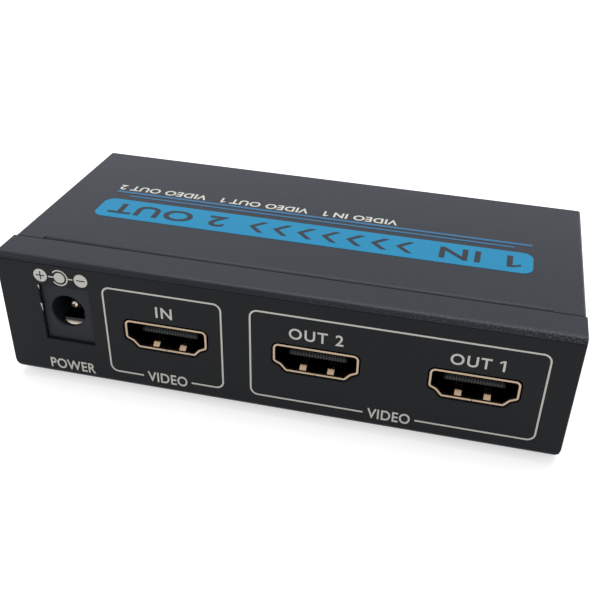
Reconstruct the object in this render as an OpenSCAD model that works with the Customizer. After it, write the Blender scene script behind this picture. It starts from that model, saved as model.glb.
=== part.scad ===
// Two-way video splitter: one input port, two output ports and a power jack in a folded sheet-metal case.
// The connector panel faces -Y, the indicator panel faces +Y, the feet stand on Z = 0. All sizes are in mm.

/* [Case] */
// Width across the connector panel
case_w = 100; // [85:1:140]
// Depth from the connector panel's face to the indicator panel's face
case_d = 47.5; // [45:0.5:80]
// Height of the metal case without its feet
case_h = 24.2; // [22.4:0.1:40]
// Thickness of the sheet metal
sheet_t = 0.6; // [0.5:0.1:0.9]
// Inner radius of the tray's folds and the cover's lip
fold_r = 0.4; // [0.2:0.1:1]
// Inner radius of the cover's side folds
side_fold_r = 0.1; // [0.05:0.05:0.6]
// Radius of the panels' lower corners
panel_corner_r = 2; // [0.5:0.1:3]
// Depth of the tray's return strip on top
strip_d = 6.8; // [5:0.2:9]
// Depth of the tray's flange under the cover's rear edge
flange_d = 5; // [3:0.5:7]
// Thickness of the printed film on the connector panel
film_t = 0.2; // [0.1:0.05:0.3]
// Margin of the metal round the printed film
film_margin = 0.2; // [0.1:0.05:0.6]
// Height of the flanges along the tray's sides
side_flange_h = 4; // [3:0.5:6]
// Gap between the cover and the tray
seam_gap = 0.2; // [0.1:0.05:0.4]
// How far the cover's sides stand inside the panels' ends
cover_inset = 0.05; // [0.05:0.05:0.6]
// Height of the cover's turned-down lip
lip_drop = 3; // [2:0.5:3.5]
// Distance from the cover's side to the end of its lip
lip_end = 5.4; // [3:0.2:10]

/* [Cover fastening] */
// Width of a side tab
tab_w = 10; // [8:0.5:14]
// Height of a side tab
tab_h = 15; // [13.5:0.5:18]
// Distance between the two tabs of one side
tab_pitch = 24; // [16:1:30]
// Height of the cover screws above the tray's underside
cover_screw_z = 11; // [10:0.5:12]
// Length of a cover screw with its head
cover_screw_len = 4; // [3.5:0.25:4.5]
// Diameter of a countersunk head
cover_head_d = 5.4; // [5:0.1:5.8]
// Diameter of the threaded collar on a tab
collar_d = 4.4; // [4:0.1:6]
// Length of the threaded collar
collar_len = 1; // [0.5:0.1:1.4]

/* [Screws] */
// Diameter of the screw shanks
screw_d = 2.8; // [2.4:0.1:3]
// Radial play of screws in their holes
screw_gap = 0.06; // [0.04:0.01:0.15]
// Width of a cross recess
recess_w = 0.6; // [0.4:0.1:0.8]
// Length of a cross recess
recess_l = 2.6; // [2:0.1:3]
// Depth of a cross recess
recess_depth = 0.8; // [0.5:0.1:1]

/* [Feet] */
// Diameter of a rubber foot
foot_d = 8; // [6:0.5:12]
// Height of a rubber foot
foot_h = 1.5; // [1:0.1:3]
// Rounding of a foot's lower edge
foot_edge_r = 0.5; // [0.2:0.1:0.8]
// Distance from the case's sides to a foot's centre
foot_inset = 8; // [7:0.5:12]

/* [Circuit board] */
// Thickness of the board
board_t = 1.6; // [1.2:0.2:2]
// Height of the standoffs under the board
standoff_h = 5.8; // [4:0.2:6]
// Diameter of a standoff
standoff_d = 5.5; // [4.8:0.1:6.5]
// Diameter of a standoff's stem in the tray's base
stem_d = 4.2; // [3.8:0.1:4.6]
// Radial play of the stems and pins in their seats
seat_gap = 0.02; // [0.01:0.01:0.05]
// Gap between the board and the case's sides
board_side_gap = 5; // [4.7:0.1:6]
// Gap between the board and the panels
board_end_gap = 0.6; // [0.4:0.1:1]
// Distance from the board's short edges to the screw holes
board_hole_side = 9; // [8:0.5:10]
// Distance from the screw holes to the rear edge and the connectors
board_hole_inset = 4; // [3.5:0.1:5]
// Radial play of what passes through the board
hole_gap = 0.25; // [0.15:0.05:0.4]
// Length of a board screw's shank
board_screw_len = 5; // [4:0.5:6]
// Diameter of a board screw's head
board_head_d = 5.5; // [5:0.1:6]
// Height of a board screw's head
board_head_h = 1.8; // [1.4:0.1:2.2]

/* [Ports] */
// Distance from the power jack's axis to the nearest port's centre
jack_port_pitch = 18.3; // [16:0.1:20]
// Distance from the panel's right end to the nearest port's centre
port_end = 16; // [13:0.5:17]
// Width of a port's shell
port_w = 14.9; // [14.5:0.1:15.5]
// Height of a port's shell
port_h = 5.35; // [5.2:0.05:5.8]
// Width of the shell's slanted lower corners
port_slant = 2.25; // [2:0.05:2.5]
// Height of the shell's slanted lower corners
port_slant_h = 1.75; // [1.6:0.05:2]
// Distance from the shell's side to the step in the slant
port_step = 1.25; // [1.1:0.05:1.4]
// Height of the step in the slant
port_step_h = 1.15; // [1:0.05:1.25]
// Outer radius of the shell's upper corners
port_corner_r = 0.95; // [0.6:0.05:1.1]
// Outer radius of the shell's lower corners and of the step
port_low_r = 0.6; // [0.5:0.05:0.7]
// Thickness of the shell
port_wall = 0.35; // [0.25:0.05:0.4]
// Width of the seam along the shell's floor
port_seam = 0.12; // [0.08:0.02:0.2]
// Length of the shell
port_d = 11; // [10.5:0.5:14]
// Gap between the board and the shell
port_lift = 1.1; // [0.9:0.1:1.4]
// Gap between the shell and its cut-out in the panel
port_gap = 0.3; // [0.15:0.05:0.5]
// How far the ports' mouths and the lamps' tips lie behind the case's faces
mouth_setback = 0.1; // [0.05:0.05:0.4]
// Width of a shell's board leg
leg_w = 1.6; // [1.2:0.1:2]
// Distance from the mouth to the front legs
leg_front = 3.6; // [3.3:0.1:4.5]
// Distance between the front and rear legs
leg_pitch = 5.6; // [4:0.1:6]
// Length of legs and terminals below the board
leg_below = 0.9; // [0.5:0.1:1.5]
// Width of the tongue
tongue_w = 10.2; // [9.8:0.1:10.8]
// Thickness of the tongue
tongue_t = 1.2; // [1:0.05:1.4]
// Chamfer of the tongue's tip
tongue_chamfer = 0.3; // [0.1:0.05:0.4]
// Height of the tongue's underside above the shell's floor
tongue_rise = 1.6; // [1.5:0.05:2.1]
// Distance from the mouth to the tongue's tip
tongue_setback = 2; // [1:0.1:2.4]
// Distance from the mouth to the insulator's block
block_setback = 7; // [6.6:0.1:8]
// Width of a contact
contact_w = 0.3; // [0.2:0.05:0.4]
// Thickness of a contact
contact_t = 0.15; // [0.1:0.05:0.2]
// Distance between contacts in one row
contact_pitch = 1; // [0.9:0.05:1.05]
// Distance from the tongue's tip to the contacts' ends
contact_setback = 0.5; // [0.3:0.1:0.8]
// Distance from the shell's rear end to the contacts' tails
tail_gap = 0.2; // [0.1:0.05:0.4]
// Length of a contact's soldered foot
contact_foot = 1; // [0.6:0.1:1.4]

/* [Port springs] */
// Width of a spring finger
finger_w = 1.15; // [0.9:0.05:2]
// Distance between the two fingers of a pair
finger_pitch = 4.9; // [3.6:0.1:6]
// Thickness of a finger
finger_t = 0.3; // [0.2:0.05:0.35]
// Distance from the mouth to the finger's root
finger_root = 6; // [5.6:0.1:6.2]
// Distance from the mouth to the finger's crest
finger_crest = 2; // [1.8:0.1:2.4]
// Distance from the finger's crest to its free end
finger_end = 0.9; // [0.7:0.1:1]
// How far the crest rises from the wall's middle
finger_rise = 0.25; // [0.15:0.05:0.5]
// How far the free end dips from the wall's middle
finger_dip = 0.45; // [0.1:0.05:0.5]
// Gap around a finger
finger_gap = 0.2; // [0.15:0.05:0.3]
// Distance from the mouth to a finger's window
window_setback = 0.45; // [0.4:0.05:0.6]

/* [Power jack] */
// Distance from the panel's left end to the jack's axis
jack_end = 12.1; // [10.5:0.1:14]
// How far the jack's face lies behind the film's face
jack_setback = 0.6; // [0.3:0.1:1]
// Width of the jack
jack_w = 9; // [8.6:0.1:9.6]
// Height of the jack
jack_h = 11; // [10.5:0.1:11.8]
// Length of the jack's housing
jack_d = 14; // [13:0.5:15]
// Depth of the jack's square front
jack_front_d = 3.4; // [2.5:0.1:5]
// Height of the jack's axis above the board
jack_axis_h = 5.95; // [5.85:0.05:6.3]
// Diameter of the jack's mouth
jack_bore_d = 6.2; // [5.9:0.1:6.4]
// Depth of the jack's mouth
jack_bore_depth = 9.8; // [9.6:0.1:10.5]
// Chamfer of the jack's mouth
jack_chamfer = 0.2; // [0.1:0.05:0.6]
// Gap between the jack and its cut-out in the panel
jack_gap = 0.1; // [0.05:0.05:0.3]
// Diameter of the centre pin
jack_pin_d = 2; // [1.6:0.1:2.5]
// Diameter of the pin's riveted shank
jack_shank_d = 1.4; // [1:0.1:1.5]
// Distance from the jack's face to the pin's tip
jack_pin_setback = 2.1; // [1:0.1:2.6]
// Diameter of the pin's riveted end
jack_rivet_d = 2.4; // [2:0.1:2.8]
// Thickness of the jack's terminals
terminal_t = 0.3; // [0.2:0.05:0.4]
// Width of the jack's terminals
terminal_w = 2; // [1.6:0.1:2.4]
// Width of the leaf spring
leaf_w = 4; // [2.4:0.1:4.2]
// Thickness of the leaf spring
leaf_t = 0.35; // [0.25:0.05:0.4]
// Gap around the leaf spring
leaf_gap = 0.15; // [0.1:0.05:0.25]
// Distance from the jack's face to the leaf's root
leaf_root = 8.8; // [8.4:0.1:9.2]
// Distance from the jack's face to the leaf's crest
leaf_crest = 2.1; // [1.9:0.1:3]
// Distance from the jack's axis to the leaf's crest
leaf_reach = 2.3; // [2.1:0.05:2.5]
// Drop from the leaf's crest to its free end
leaf_fall = 1.1; // [0.9:0.05:1.3]
// Distance from the leaf's crest to its free end
leaf_nose = 0.85; // [0.7:0.05:1]
// Width of the switch terminal and of its arm over the leaf
arm_w = 0.8; // [0.6:0.05:1]
// Distance from the leaf's slot to the switch terminal
switch_gap = 1.4; // [1.2:0.05:1.6]
// Distance from the jack's face to the switch terminal
switch_leg_y = 5.4; // [5.2:0.1:5.8]
// Distance from the jack's face to the leaf terminal's leg
leaf_leg_y = 7; // [6.4:0.1:7.4]

/* [Indicators] */
// Diameter of an indicator lamp
led_d = 3; // [2.6:0.1:3.4]
// Diameter of a lamp's rim
led_rim_d = 3.8; // [3.6:0.1:4.4]
// Length of a lamp
led_len = 5.3; // [4.8:0.1:6]
// Length of a lamp's rim
led_rim_len = 1; // [0.6:0.1:1.4]
// Height of the lamps above the board
led_height = 4.2; // [3:0.1:6]
// Distance between neighbouring lamps
led_pitch = 12; // [8:0.5:16]
// Gap between a lamp and its hole
led_gap = 0.1; // [0.05:0.05:0.3]
// Thickness of a lamp's leads
lead_t = 0.5; // [0.4:0.05:0.6]
// Distance between a lamp's two leads
lead_pitch = 2.54; // [2:0.01:2.8]
// Distance from a lamp's rim to where its leads turn down
lead_run = 1.6; // [1:0.1:2.5]

/* [Chips] */
// Side of the splitter chip's square body
chip_w = 12; // [10:0.5:14]
// Height of the splitter chip's body
chip_h = 1.4; // [1:0.1:2]
// Leads on each side of the splitter chip
chip_leads = 12; // [8:1:14]
// Distance between the splitter chip's leads
chip_pitch = 0.8; // [0.65:0.05:0.85]
// Width of the splitter chip's leads
chip_lead_w = 0.35; // [0.25:0.05:0.4]
// Length of the memory chip
memory_l = 4.9; // [4.6:0.1:5.4]
// Width of the memory chip
memory_w = 3.9; // [3.6:0.1:4.4]
// Height of the memory chip's body
memory_h = 1.4; // [1:0.1:1.8]
// Distance between the memory chip's leads
memory_pitch = 1.27; // [1.2:0.01:1.3]
// Width of the memory chip's leads
memory_lead_w = 0.42; // [0.35:0.01:0.5]
// How far a chip's leads reach out of its body
lead_reach = 1; // [0.7:0.1:1.2]
// Thickness of a chip's leads
chip_lead_t = 0.15; // [0.1:0.05:0.2]
// Gap between the board and the chips' bodies
chip_lift = 0.1; // [0.05:0.05:0.2]
// Length of the voltage regulator
regulator_l = 6.5; // [6:0.1:7]
// Width of the voltage regulator
regulator_w = 3.5; // [3.2:0.1:4]
// Height of the voltage regulator
regulator_h = 1.6; // [1.4:0.1:1.8]
// Distance between the voltage regulator's leads
regulator_pitch = 2.3; // [2:0.1:2.5]
// Width of the voltage regulator's leads
regulator_lead_w = 0.7; // [0.5:0.05:0.9]
// Width of the voltage regulator's tab
regulator_tab_w = 3; // [2.5:0.1:3.5]

/* [Other board parts] */
// Length of the crystal's can
crystal_l = 11; // [10:0.1:11.5]
// Width of the crystal's can
crystal_w = 4.6; // [4:0.1:5]
// Height of the crystal's can
crystal_h = 3.5; // [3:0.1:4]
// Width of the rim round the crystal's foot
crystal_rim = 0.4; // [0.2:0.1:0.6]
// Height of the rim round the crystal's foot
crystal_rim_h = 0.5; // [0.3:0.1:0.7]
// Diameter of a filter capacitor's can
can_d = 6.3; // [5:0.1:6.6]
// Height of a filter capacitor's can
can_h = 5.4; // [4:0.1:7]
// Height of a filter capacitor's base
can_base_h = 0.8; // [0.5:0.1:1.2]
// Margin of the base round the can
can_margin = 0.15; // [0.1:0.05:0.3]
// Side of the power inductor
inductor_w = 7; // [5:0.1:8]
// Height of the power inductor
inductor_h = 3.5; // [2:0.1:5]
// Corner radius of the power inductor
inductor_r = 1.2; // [0.5:0.1:2]
// Length of a chip resistor or capacitor
passive_l = 1.6; // [1:0.1:2]
// Width of a chip resistor or capacitor
passive_w = 0.8; // [0.5:0.05:0.9]
// Height of a chip resistor
resistor_h = 0.45; // [0.3:0.05:0.6]
// Height of a chip capacitor
capacitor_h = 0.8; // [0.5:0.05:1]
// Length of a protection array
array_l = 2.5; // [2:0.1:3]
// Width of a protection array
array_w = 1; // [0.8:0.05:1]
// Height of a protection array
array_h = 0.55; // [0.4:0.05:0.8]
// Distance from one row of board parts to the next
row_pitch = 1.3; // [1.2:0.05:1.6]

/* [Hidden] */
$fn = 64;
cut = 1;
least_r = 0.1;
arc_step = 12;

face_y = -case_d / 2;
panel_y = face_y + film_t;
rear_y = case_d / 2;
bend_r = fold_r + sheet_t;
base_z = foot_h;
floor_z = base_z + sheet_t;
top_z = base_z + case_h;
cover_half = case_w / 2 - cover_inset;
tab_face = cover_half - sheet_t - seam_gap;
board_bottom = floor_z + standoff_h;
board_top = board_bottom + board_t;
board_half = case_w / 2 - board_side_gap;
board_front = panel_y + sheet_t + board_end_gap;
board_rear = rear_y - sheet_t - board_end_gap;
mouth_y = face_y + mouth_setback;

jack_x = -case_w / 2 + jack_end;
input_x = jack_x + jack_port_pitch;
output_1_x = case_w / 2 - port_end;
output_2_x = (input_x + output_1_x) / 2;
port_centres = [input_x, output_2_x, output_1_x];
port_z = board_top + port_lift;
finger_free = finger_crest - finger_end;
tongue_z = port_wall + tongue_rise;
tail_y = port_d + tail_gap;
contacts_top = 10;
contacts_below = 9;
parts_y = mouth_y + tail_y + contact_t + contact_foot;

jack_y = face_y + jack_setback;
jack_rear = jack_y + jack_d;
leaf_root_z = terminal_t + leaf_t / 2 + seat_gap;
leaf_crest_z = jack_axis_h - leaf_reach - leaf_t / 2;
leaf_slope = atan2(leaf_crest_z - leaf_root_z, leaf_root - leaf_crest);
leaf_tip = leaf_crest - leaf_nose;
leaf_tip_z = leaf_crest_z - leaf_fall;
arm_front = switch_leg_y - arm_w / 2;
arm_z = leaf_crest_z - (arm_front - leaf_crest) * tan(leaf_slope) + leaf_t / 2 / cos(leaf_slope) + seat_gap;
switch_x = leaf_w / 2 + leaf_gap + switch_gap;

led_centres = [for (i = [-1.5:1:1.5]) i * led_pitch];
led_z = board_top + led_height;
led_root = rear_y - mouth_setback - led_len;
lead_y = led_root - lead_run;

standoff_x = board_half - board_hole_side;
standoff_front = max(jack_rear + 2 * terminal_t, parts_y + 2 * row_pitch + passive_w / 2) + board_hole_inset;
standoff_rear = board_rear - board_hole_inset;
standoff_places = [for (x = [-standoff_x, standoff_x], y = [standoff_front, standoff_rear]) [x, y]];
tab_places = [-tab_pitch / 2, tab_pitch / 2];

chip_x = output_2_x;
chip_y = parts_y + 3 * row_pitch + lead_reach + chip_w / 2;
memory_y = parts_y + 3 * row_pitch + lead_reach + memory_w / 2;
crystal_x = chip_x + chip_w / 2 + lead_reach + 2 * row_pitch + crystal_w / 2;
regulator_x = (jack_x + input_x) / 2;
regulator_y = standoff_front + regulator_w;
can_y = regulator_y + regulator_w + can_d;
inductor_x = input_x + inductor_w / 2;

black_coat = "#3a3c42";
rose_plate = "#c8a684";
tin_plate = "#c4c6c8";
moulded_black = "#1c1d1f";

// Shared shapes

function unit(v) = v / norm(v);

// A rectangle with round corners, centred on x with its lower edge on y = 0.
module rounded_rectangle(w, h, r) {
    translate([-w / 2 + r, 0]) square([w - 2 * r, h]);
    translate([-w / 2, r]) square([w, h - 2 * r]);
    for (x = [-w / 2 + r, w / 2 - r], y = [r, h - r]) translate([x, y]) circle(r);
}

// The corners of an outline, moved outwards by grow.
function grown(points, grow) = let (n = len(points)) [for (i = [0:n - 1]) let (
    before = unit(points[i] - points[(i + n - 1) % n]),
    after = unit(points[(i + 1) % n] - points[i]),
    out = [before[1] + after[1], -before[0] - after[0]]
) points[i] + out * grow / (1 + before * after)];

// A vector turned by an angle.
function turned(v, angle) = [v[0] * cos(angle) - v[1] * sin(angle), v[0] * sin(angle) + v[1] * cos(angle)];

// Points of the arc of radius r that rounds the corner p between a and b.
function corner_arc(a, p, b, r) = let (
    back = unit(a - p),
    ahead = unit(b - p),
    half = acos(back * ahead) / 2,
    centre = p + unit(back + ahead) * r / sin(half),
    start = p + back * r / tan(half) - centre,
    sweep = sign(ahead[0] * back[1] - ahead[1] * back[0]) * (180 - 2 * half),
    steps = ceil(abs(sweep) / arc_step)
) [for (k = [0:steps]) centre + turned(start, sweep * k / steps)];

// A polygon with round corners.
module rounded_polygon(points, radii) {
    n = len(points);
    polygon([for (i = [0:n - 1])
        each corner_arc(points[(i + n - 1) % n], points[i], points[(i + 1) % n], radii[i])]);
}

// One side of a strip, at a distance from the path along its middle.
function strip_side(path, distance) = let (last = len(path) - 1) [for (i = [0:last]) let (
    before = unit(path[max(i, 1)] - path[max(i, 1) - 1]),
    after = unit(path[min(i, last - 1) + 1] - path[min(i, last - 1)])
) path[i] + [before[1] + after[1], -before[0] - after[0]] * distance / (1 + before * after)];

// A bent strip of even thickness along a path, with round bends and square ends.
module bent_strip(path, t) {
    last = len(path) - 1;
    bends = [for (i = [1:last - 1]) each corner_arc(path[i - 1], path[i], path[i + 1], t)];
    middle = concat([path[0]], bends, [path[last]]);
    far_side = strip_side(middle, -t / 2);
    polygon(concat(strip_side(middle, t / 2), [for (i = [len(middle) - 1:-1:0]) far_side[i]]));
}

// Extrudes an XZ outline along Y, from y to y + length.
module along_y(y, length) {
    translate([0, y + length, 0]) rotate([90, 0, 0]) linear_extrude(length) children();
}

// Extrudes a YZ outline along X, evenly to both sides of x.
module across_x(x, width) {
    translate([x, 0, 0]) rotate([90, 0, 90]) linear_extrude(width, center = true) children();
}

// A rod along Y, from y to y + length.
module rod_y(d, y, length) {
    translate([0, y, 0]) rotate([-90, 0, 0]) cylinder(d = d, h = length);
}

module cross_recess(depth) {
    for (a = [0, 90]) rotate(a) translate([-recess_l / 2, -recess_w / 2, -depth])
        cube([recess_l, recess_w, depth + cut]);
}

module block(size, z) {
    translate([-size[0] / 2, -size[1] / 2, z]) cube(size);
}

// Case

module at_cover_screws(depth) {
    for (side = [0, 1], y = tab_places) mirror([side, 0, 0])
        translate([cover_half - depth, y, base_z + cover_screw_z]) rotate([0, 90, 0]) children();
}

// A countersunk screw along +Z with its head's flat on z = 0.
module countersunk_screw(gap) {
    head_h = (cover_head_d - screw_d) / 2;
    translate([0, 0, -head_h]) cylinder(d1 = screw_d + 2 * gap, d2 = cover_head_d + 2 * gap, h = head_h);
    translate([0, 0, -cover_screw_len - gap])
        cylinder(d = screw_d + 2 * gap, h = cover_screw_len + gap - head_h);
}

module cover_screws() {
    color("#2a2b2e") at_cover_screws(0) difference() {
        countersunk_screw(0);
        cross_recess(recess_depth);
    }
}

// A closed ring of sheet with round folds, its lower face on y = 0.
module sheet_ring(w, h, inner_r) {
    difference() {
        rounded_rectangle(w, h, inner_r + sheet_t);
        translate([0, sheet_t]) rounded_rectangle(w - 2 * sheet_t, h - 2 * sheet_t, inner_r);
    }
}

// Base, both panels, the front strip and the lower rear flange, seen along X.
module tray_section() {
    depth = rear_y - panel_y;
    middle = (rear_y + panel_y) / 2;
    rear_h = case_h - sheet_t - seam_gap;
    translate([middle, base_z]) difference() {
        union() {
            intersection() {
                sheet_ring(depth, case_h, fold_r);
                translate([-depth, 0]) square([depth, case_h]);
            }
            intersection() {
                sheet_ring(depth, rear_h, fold_r);
                square([depth, case_h]);
            }
        }
        translate([-depth / 2 + strip_d, case_h / 2]) square([depth - strip_d - flange_d, case_h]);
    }
}

// The panels' outline seen from the front: round lower corners and square upper ones.
module panel_outline(inset) {
    w = case_w - 2 * inset;
    r = max(panel_corner_r - inset, least_r);
    translate([0, base_z + inset]) {
        rounded_rectangle(w, case_h / 2, r);
        translate([-w / 2, r]) square([w, case_h - r]);
    }
}

// A side flange of height h with its fold, seen along Y.
module flange_section(h) {
    translate([0, base_z]) intersection() {
        sheet_ring(2 * tab_face, 2 * tab_h, fold_r);
        translate([tab_face - 3 * bend_r, 0]) square([4 * bend_r, h]);
    }
}

module side_flanges() {
    flange_y = panel_y + sheet_t + seam_gap;
    for (side = [0, 1]) mirror([side, 0, 0]) {
        along_y(flange_y, rear_y - sheet_t - seam_gap - flange_y) flange_section(side_flange_h);
        for (y = tab_places) {
            along_y(y - tab_w / 2, tab_w) flange_section(tab_h);
            translate([tab_face - sheet_t - collar_len, y, base_z + cover_screw_z]) rotate([0, 90, 0])
                cylinder(d = collar_d, h = collar_len);
        }
    }
}

module port_outline(grow) {
    half = [[port_w / 2 - port_slant, 0], [port_w / 2 - port_step, port_step_h],
            [port_w / 2, port_slant_h], [port_w / 2, port_h]];
    low_r = max(least_r, port_low_r + grow);
    radii = [low_r, max(least_r, port_low_r - grow), low_r, max(least_r, port_corner_r + grow)];
    last = len(half) - 1;
    other_half = [for (i = [last:-1:0]) [-half[i][0], half[i][1]]];
    translate([0, port_z]) rounded_polygon(
        grown(concat(half, other_half), grow), concat(radii, [for (i = [last:-1:0]) radii[i]])
    );
}

module connector_openings(grow) {
    for (x = port_centres) translate([x, 0]) port_outline(port_gap + grow);
    translate([jack_x - jack_w / 2 - jack_gap - grow, board_top - jack_gap - grow])
        square([jack_w + 2 * (jack_gap + grow), jack_h + 2 * (jack_gap + grow)]);
}

module indicator_cuts() {
    for (x = led_centres) translate([x, 0, led_z])
        rod_y(led_d + 2 * led_gap, rear_y - sheet_t - cut, sheet_t + 2 * cut);
}

module bottom_tray() {
    inner_front = panel_y + sheet_t;
    inner_d = rear_y - sheet_t - inner_front;
    base_edge = min(tab_face - bend_r, case_w / 2 - panel_corner_r);
    color(black_coat) difference() {
        union() {
            difference() {
                intersection() {
                    across_x(0, case_w) tray_section();
                    along_y(face_y - cut, case_d + 2 * cut) panel_outline(0);
                }
                for (side = [0, 1]) mirror([side, 0, 0])
                    translate([base_edge, inner_front, base_z - cut])
                        cube([case_w, inner_d, case_h - sheet_t + cut]);
            }
            side_flanges();
        }
        along_y(panel_y - cut, sheet_t + 2 * cut) connector_openings(0);
        indicator_cuts();
        at_cover_screws(0) countersunk_screw(screw_gap);
        for (p = standoff_places) translate([p[0], p[1], base_z - cut])
            cylinder(d = stem_d + 2 * seat_gap, h = sheet_t + 2 * cut);
    }
}

module connector_panel_film() {
    color("#26282c") along_y(face_y, film_t) difference() {
        intersection() {
            panel_outline(film_margin);
            translate([-case_w, base_z + bend_r]) square([2 * case_w, case_h - 2 * bend_r]);
        }
        connector_openings(film_margin / 2);
    }
}

// Top and both sides, seen along Y.
module cover_section() {
    translate([0, top_z - 2 * case_h]) intersection() {
        sheet_ring(2 * cover_half, 2 * case_h, side_fold_r);
        translate([-case_w, case_h + seam_gap]) square([2 * case_w, case_h]);
    }
}

// The turned-down lip with its fold, along the cover's front edge.
module cover_lip(edge_y) {
    across_x(0, 2 * (cover_half - lip_end)) intersection() {
        translate([edge_y + case_d / 2, top_z - case_h]) sheet_ring(case_d, case_h, fold_r);
        translate([edge_y, top_z - lip_drop]) square([2 * bend_r, lip_drop]);
    }
}

module top_cover() {
    edge_y = panel_y + strip_d + seam_gap;
    side_front = panel_y + sheet_t + seam_gap;
    side_rear = rear_y - sheet_t - seam_gap;
    lip_half = cover_half - lip_end;
    color(black_coat) difference() {
        union() {
            difference() {
                along_y(side_front, rear_y - side_front) cover_section();
                translate([-case_w, face_y, top_z - sheet_t - seam_gap])
                    cube([2 * case_w, edge_y - face_y, case_h]);
                translate([-lip_half, face_y, top_z - 2 * bend_r])
                    cube([2 * lip_half, edge_y + bend_r - face_y, case_h]);
                translate([-case_w, side_rear, base_z - cut])
                    cube([2 * case_w, case_d, case_h - sheet_t + cut]);
            }
            cover_lip(edge_y);
        }
        at_cover_screws(0) countersunk_screw(screw_gap);
    }
}

module rubber_feet() {
    r = foot_d / 2;
    e = foot_edge_r;
    color("#1a1a1b") for (x = [-1, 1], y = [-1, 1])
        translate([x * (case_w / 2 - foot_inset), y * (case_d / 2 - foot_inset), 0]) rotate_extrude() {
            square([r - e, foot_h]);
            translate([0, e]) square([r, foot_h - e]);
            translate([r - e, e]) circle(e);
        }
}

// Board and its fastening

module slot_cut(place, length, width) {
    translate([place[0], place[1], board_bottom - cut])
        block([width + 2 * hole_gap, length + 2 * hole_gap, board_t + 2 * cut], 0);
}

module circuit_board() {
    leg_x = port_w / 2 - port_wall / 2;
    color("#1f5a3a") difference() {
        translate([-board_half, board_front, board_bottom])
            cube([2 * board_half, board_rear - board_front, board_t]);
        for (p = standoff_places) translate([p[0], p[1], board_bottom - cut])
            cylinder(d = screw_d + 2 * hole_gap, h = board_t + 2 * cut);
        for (x = port_centres, side = [-1, 1], y = [leg_front, leg_front + leg_pitch])
            slot_cut([x + side * leg_x, mouth_y + y], leg_w, port_wall);
        slot_cut([jack_x, jack_rear + terminal_t / 2], terminal_t, terminal_w);
        slot_cut([jack_x, jack_y + leaf_leg_y], terminal_t, terminal_w);
        slot_cut([jack_x + switch_x, jack_y + switch_leg_y], arm_w, terminal_t);
        for (x = led_centres, side = [-1, 1])
            translate([x + side * lead_pitch / 2, lead_y + lead_t / 2, board_bottom - cut])
                cylinder(d = lead_t * sqrt(2) + hole_gap, h = board_t + 2 * cut);
    }
}

module board_standoffs() {
    color(tin_plate) for (p = standoff_places) translate([p[0], p[1], 0]) difference() {
        union() {
            translate([0, 0, floor_z]) cylinder(d = standoff_d, h = standoff_h);
            translate([0, 0, base_z]) cylinder(d = stem_d, h = sheet_t + cut);
        }
        translate([0, 0, board_bottom - board_screw_len])
            cylinder(d = screw_d + 2 * screw_gap, h = board_screw_len + cut);
    }
}

module board_screws() {
    color(tin_plate) for (p = standoff_places) translate([p[0], p[1], board_top]) difference() {
        union() {
            cylinder(d = board_head_d, h = board_head_h);
            translate([0, 0, -board_screw_len]) cylinder(d = screw_d, h = board_screw_len + board_head_h);
        }
        translate([0, 0, board_head_h]) cross_recess(recess_depth);
    }
}

// Video ports

module finger_cuts() {
    length = finger_root + finger_t / 2 + finger_gap - window_setback;
    for (side = [-1, 1], z = [0, port_h - port_wall])
        translate([side * finger_pitch / 2, mouth_y + window_setback, port_z + z])
            translate([-finger_w / 2 - finger_gap, 0, -cut / 4])
                cube([finger_w + 2 * finger_gap, length, port_wall + cut / 2]);
}

module port_shell(x) {
    leg_top = port_z + port_h / 2;
    leg_tip = board_bottom - leg_below;
    color(rose_plate) translate([x, 0, 0]) difference() {
        union() {
            along_y(mouth_y, port_d) difference() {
                port_outline(0);
                port_outline(-port_wall);
            }
            for (side = [0, 1], y = [leg_front, leg_front + leg_pitch]) mirror([side, 0, 0])
                translate([port_w / 2 - port_wall, mouth_y + y - leg_w / 2, leg_tip])
                    cube([port_wall, leg_w, leg_top - leg_tip]);
        }
        finger_cuts();
        translate([-port_seam / 2, mouth_y - cut, port_z - cut / 4])
            cube([port_seam, port_d + 2 * cut, port_wall + cut / 2]);
    }
}

// The strip of one contact in the YZ plane, at a height z on the tongue, with its tail and soldered foot.
module contact_section(z) {
    tip = tongue_setback + contact_setback;
    translate([mouth_y + tip, z]) square([tail_y - tip, contact_t]);
    translate([mouth_y + tail_y, board_top]) square([contact_t, z + contact_t - board_top]);
    translate([mouth_y + tail_y, board_top]) square([contact_t + contact_foot, contact_t]);
}

module contact_rows() {
    top_face = port_z + tongue_z + tongue_t;
    for (i = [0:contacts_top - 1])
        across_x((i - (contacts_top - 1) / 2) * contact_pitch, contact_w)
            contact_section(top_face - contact_t * 2 / 3);
    for (i = [0:contacts_below - 1])
        across_x((i - (contacts_below - 1) / 2) * contact_pitch, contact_w)
            contact_section(port_z + tongue_z - contact_t / 3);
}

module port_contacts(x) {
    color("#d9b56a") translate([x, 0, 0]) contact_rows();
}

module port_insulator(x) {
    tip = tongue_chamfer;
    color(moulded_black) translate([x, 0, 0]) difference() {
        union() {
            along_y(mouth_y + block_setback, port_d - block_setback) port_outline(-port_wall - seat_gap);
            across_x(0, tongue_w) translate([mouth_y + tongue_setback, port_z + tongue_z]) polygon([
                [0, tip], [tip, 0], [block_setback, 0],
                [block_setback, tongue_t], [tip, tongue_t], [0, tongue_t - tip]
            ]);
        }
        contact_rows();
    }
}

// A pair of spring fingers in the shell's floor, or turned over in its roof.
module port_springs(x, roof) {
    middle_z = port_z + port_h / 2;
    drop = port_h / 2 - port_wall / 2;
    color(rose_plate) translate([x, 0, middle_z]) mirror([0, 0, roof ? 1 : 0]) for (side = [-1, 1])
        across_x(side * finger_pitch / 2, finger_w) bent_strip([
            [mouth_y + finger_root, -drop],
            [mouth_y + (finger_root + finger_crest) / 2, -drop],
            [mouth_y + finger_crest, finger_rise - drop],
            [mouth_y + finger_free, -finger_dip - drop]
        ], finger_t);
}

// Power jack

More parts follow.
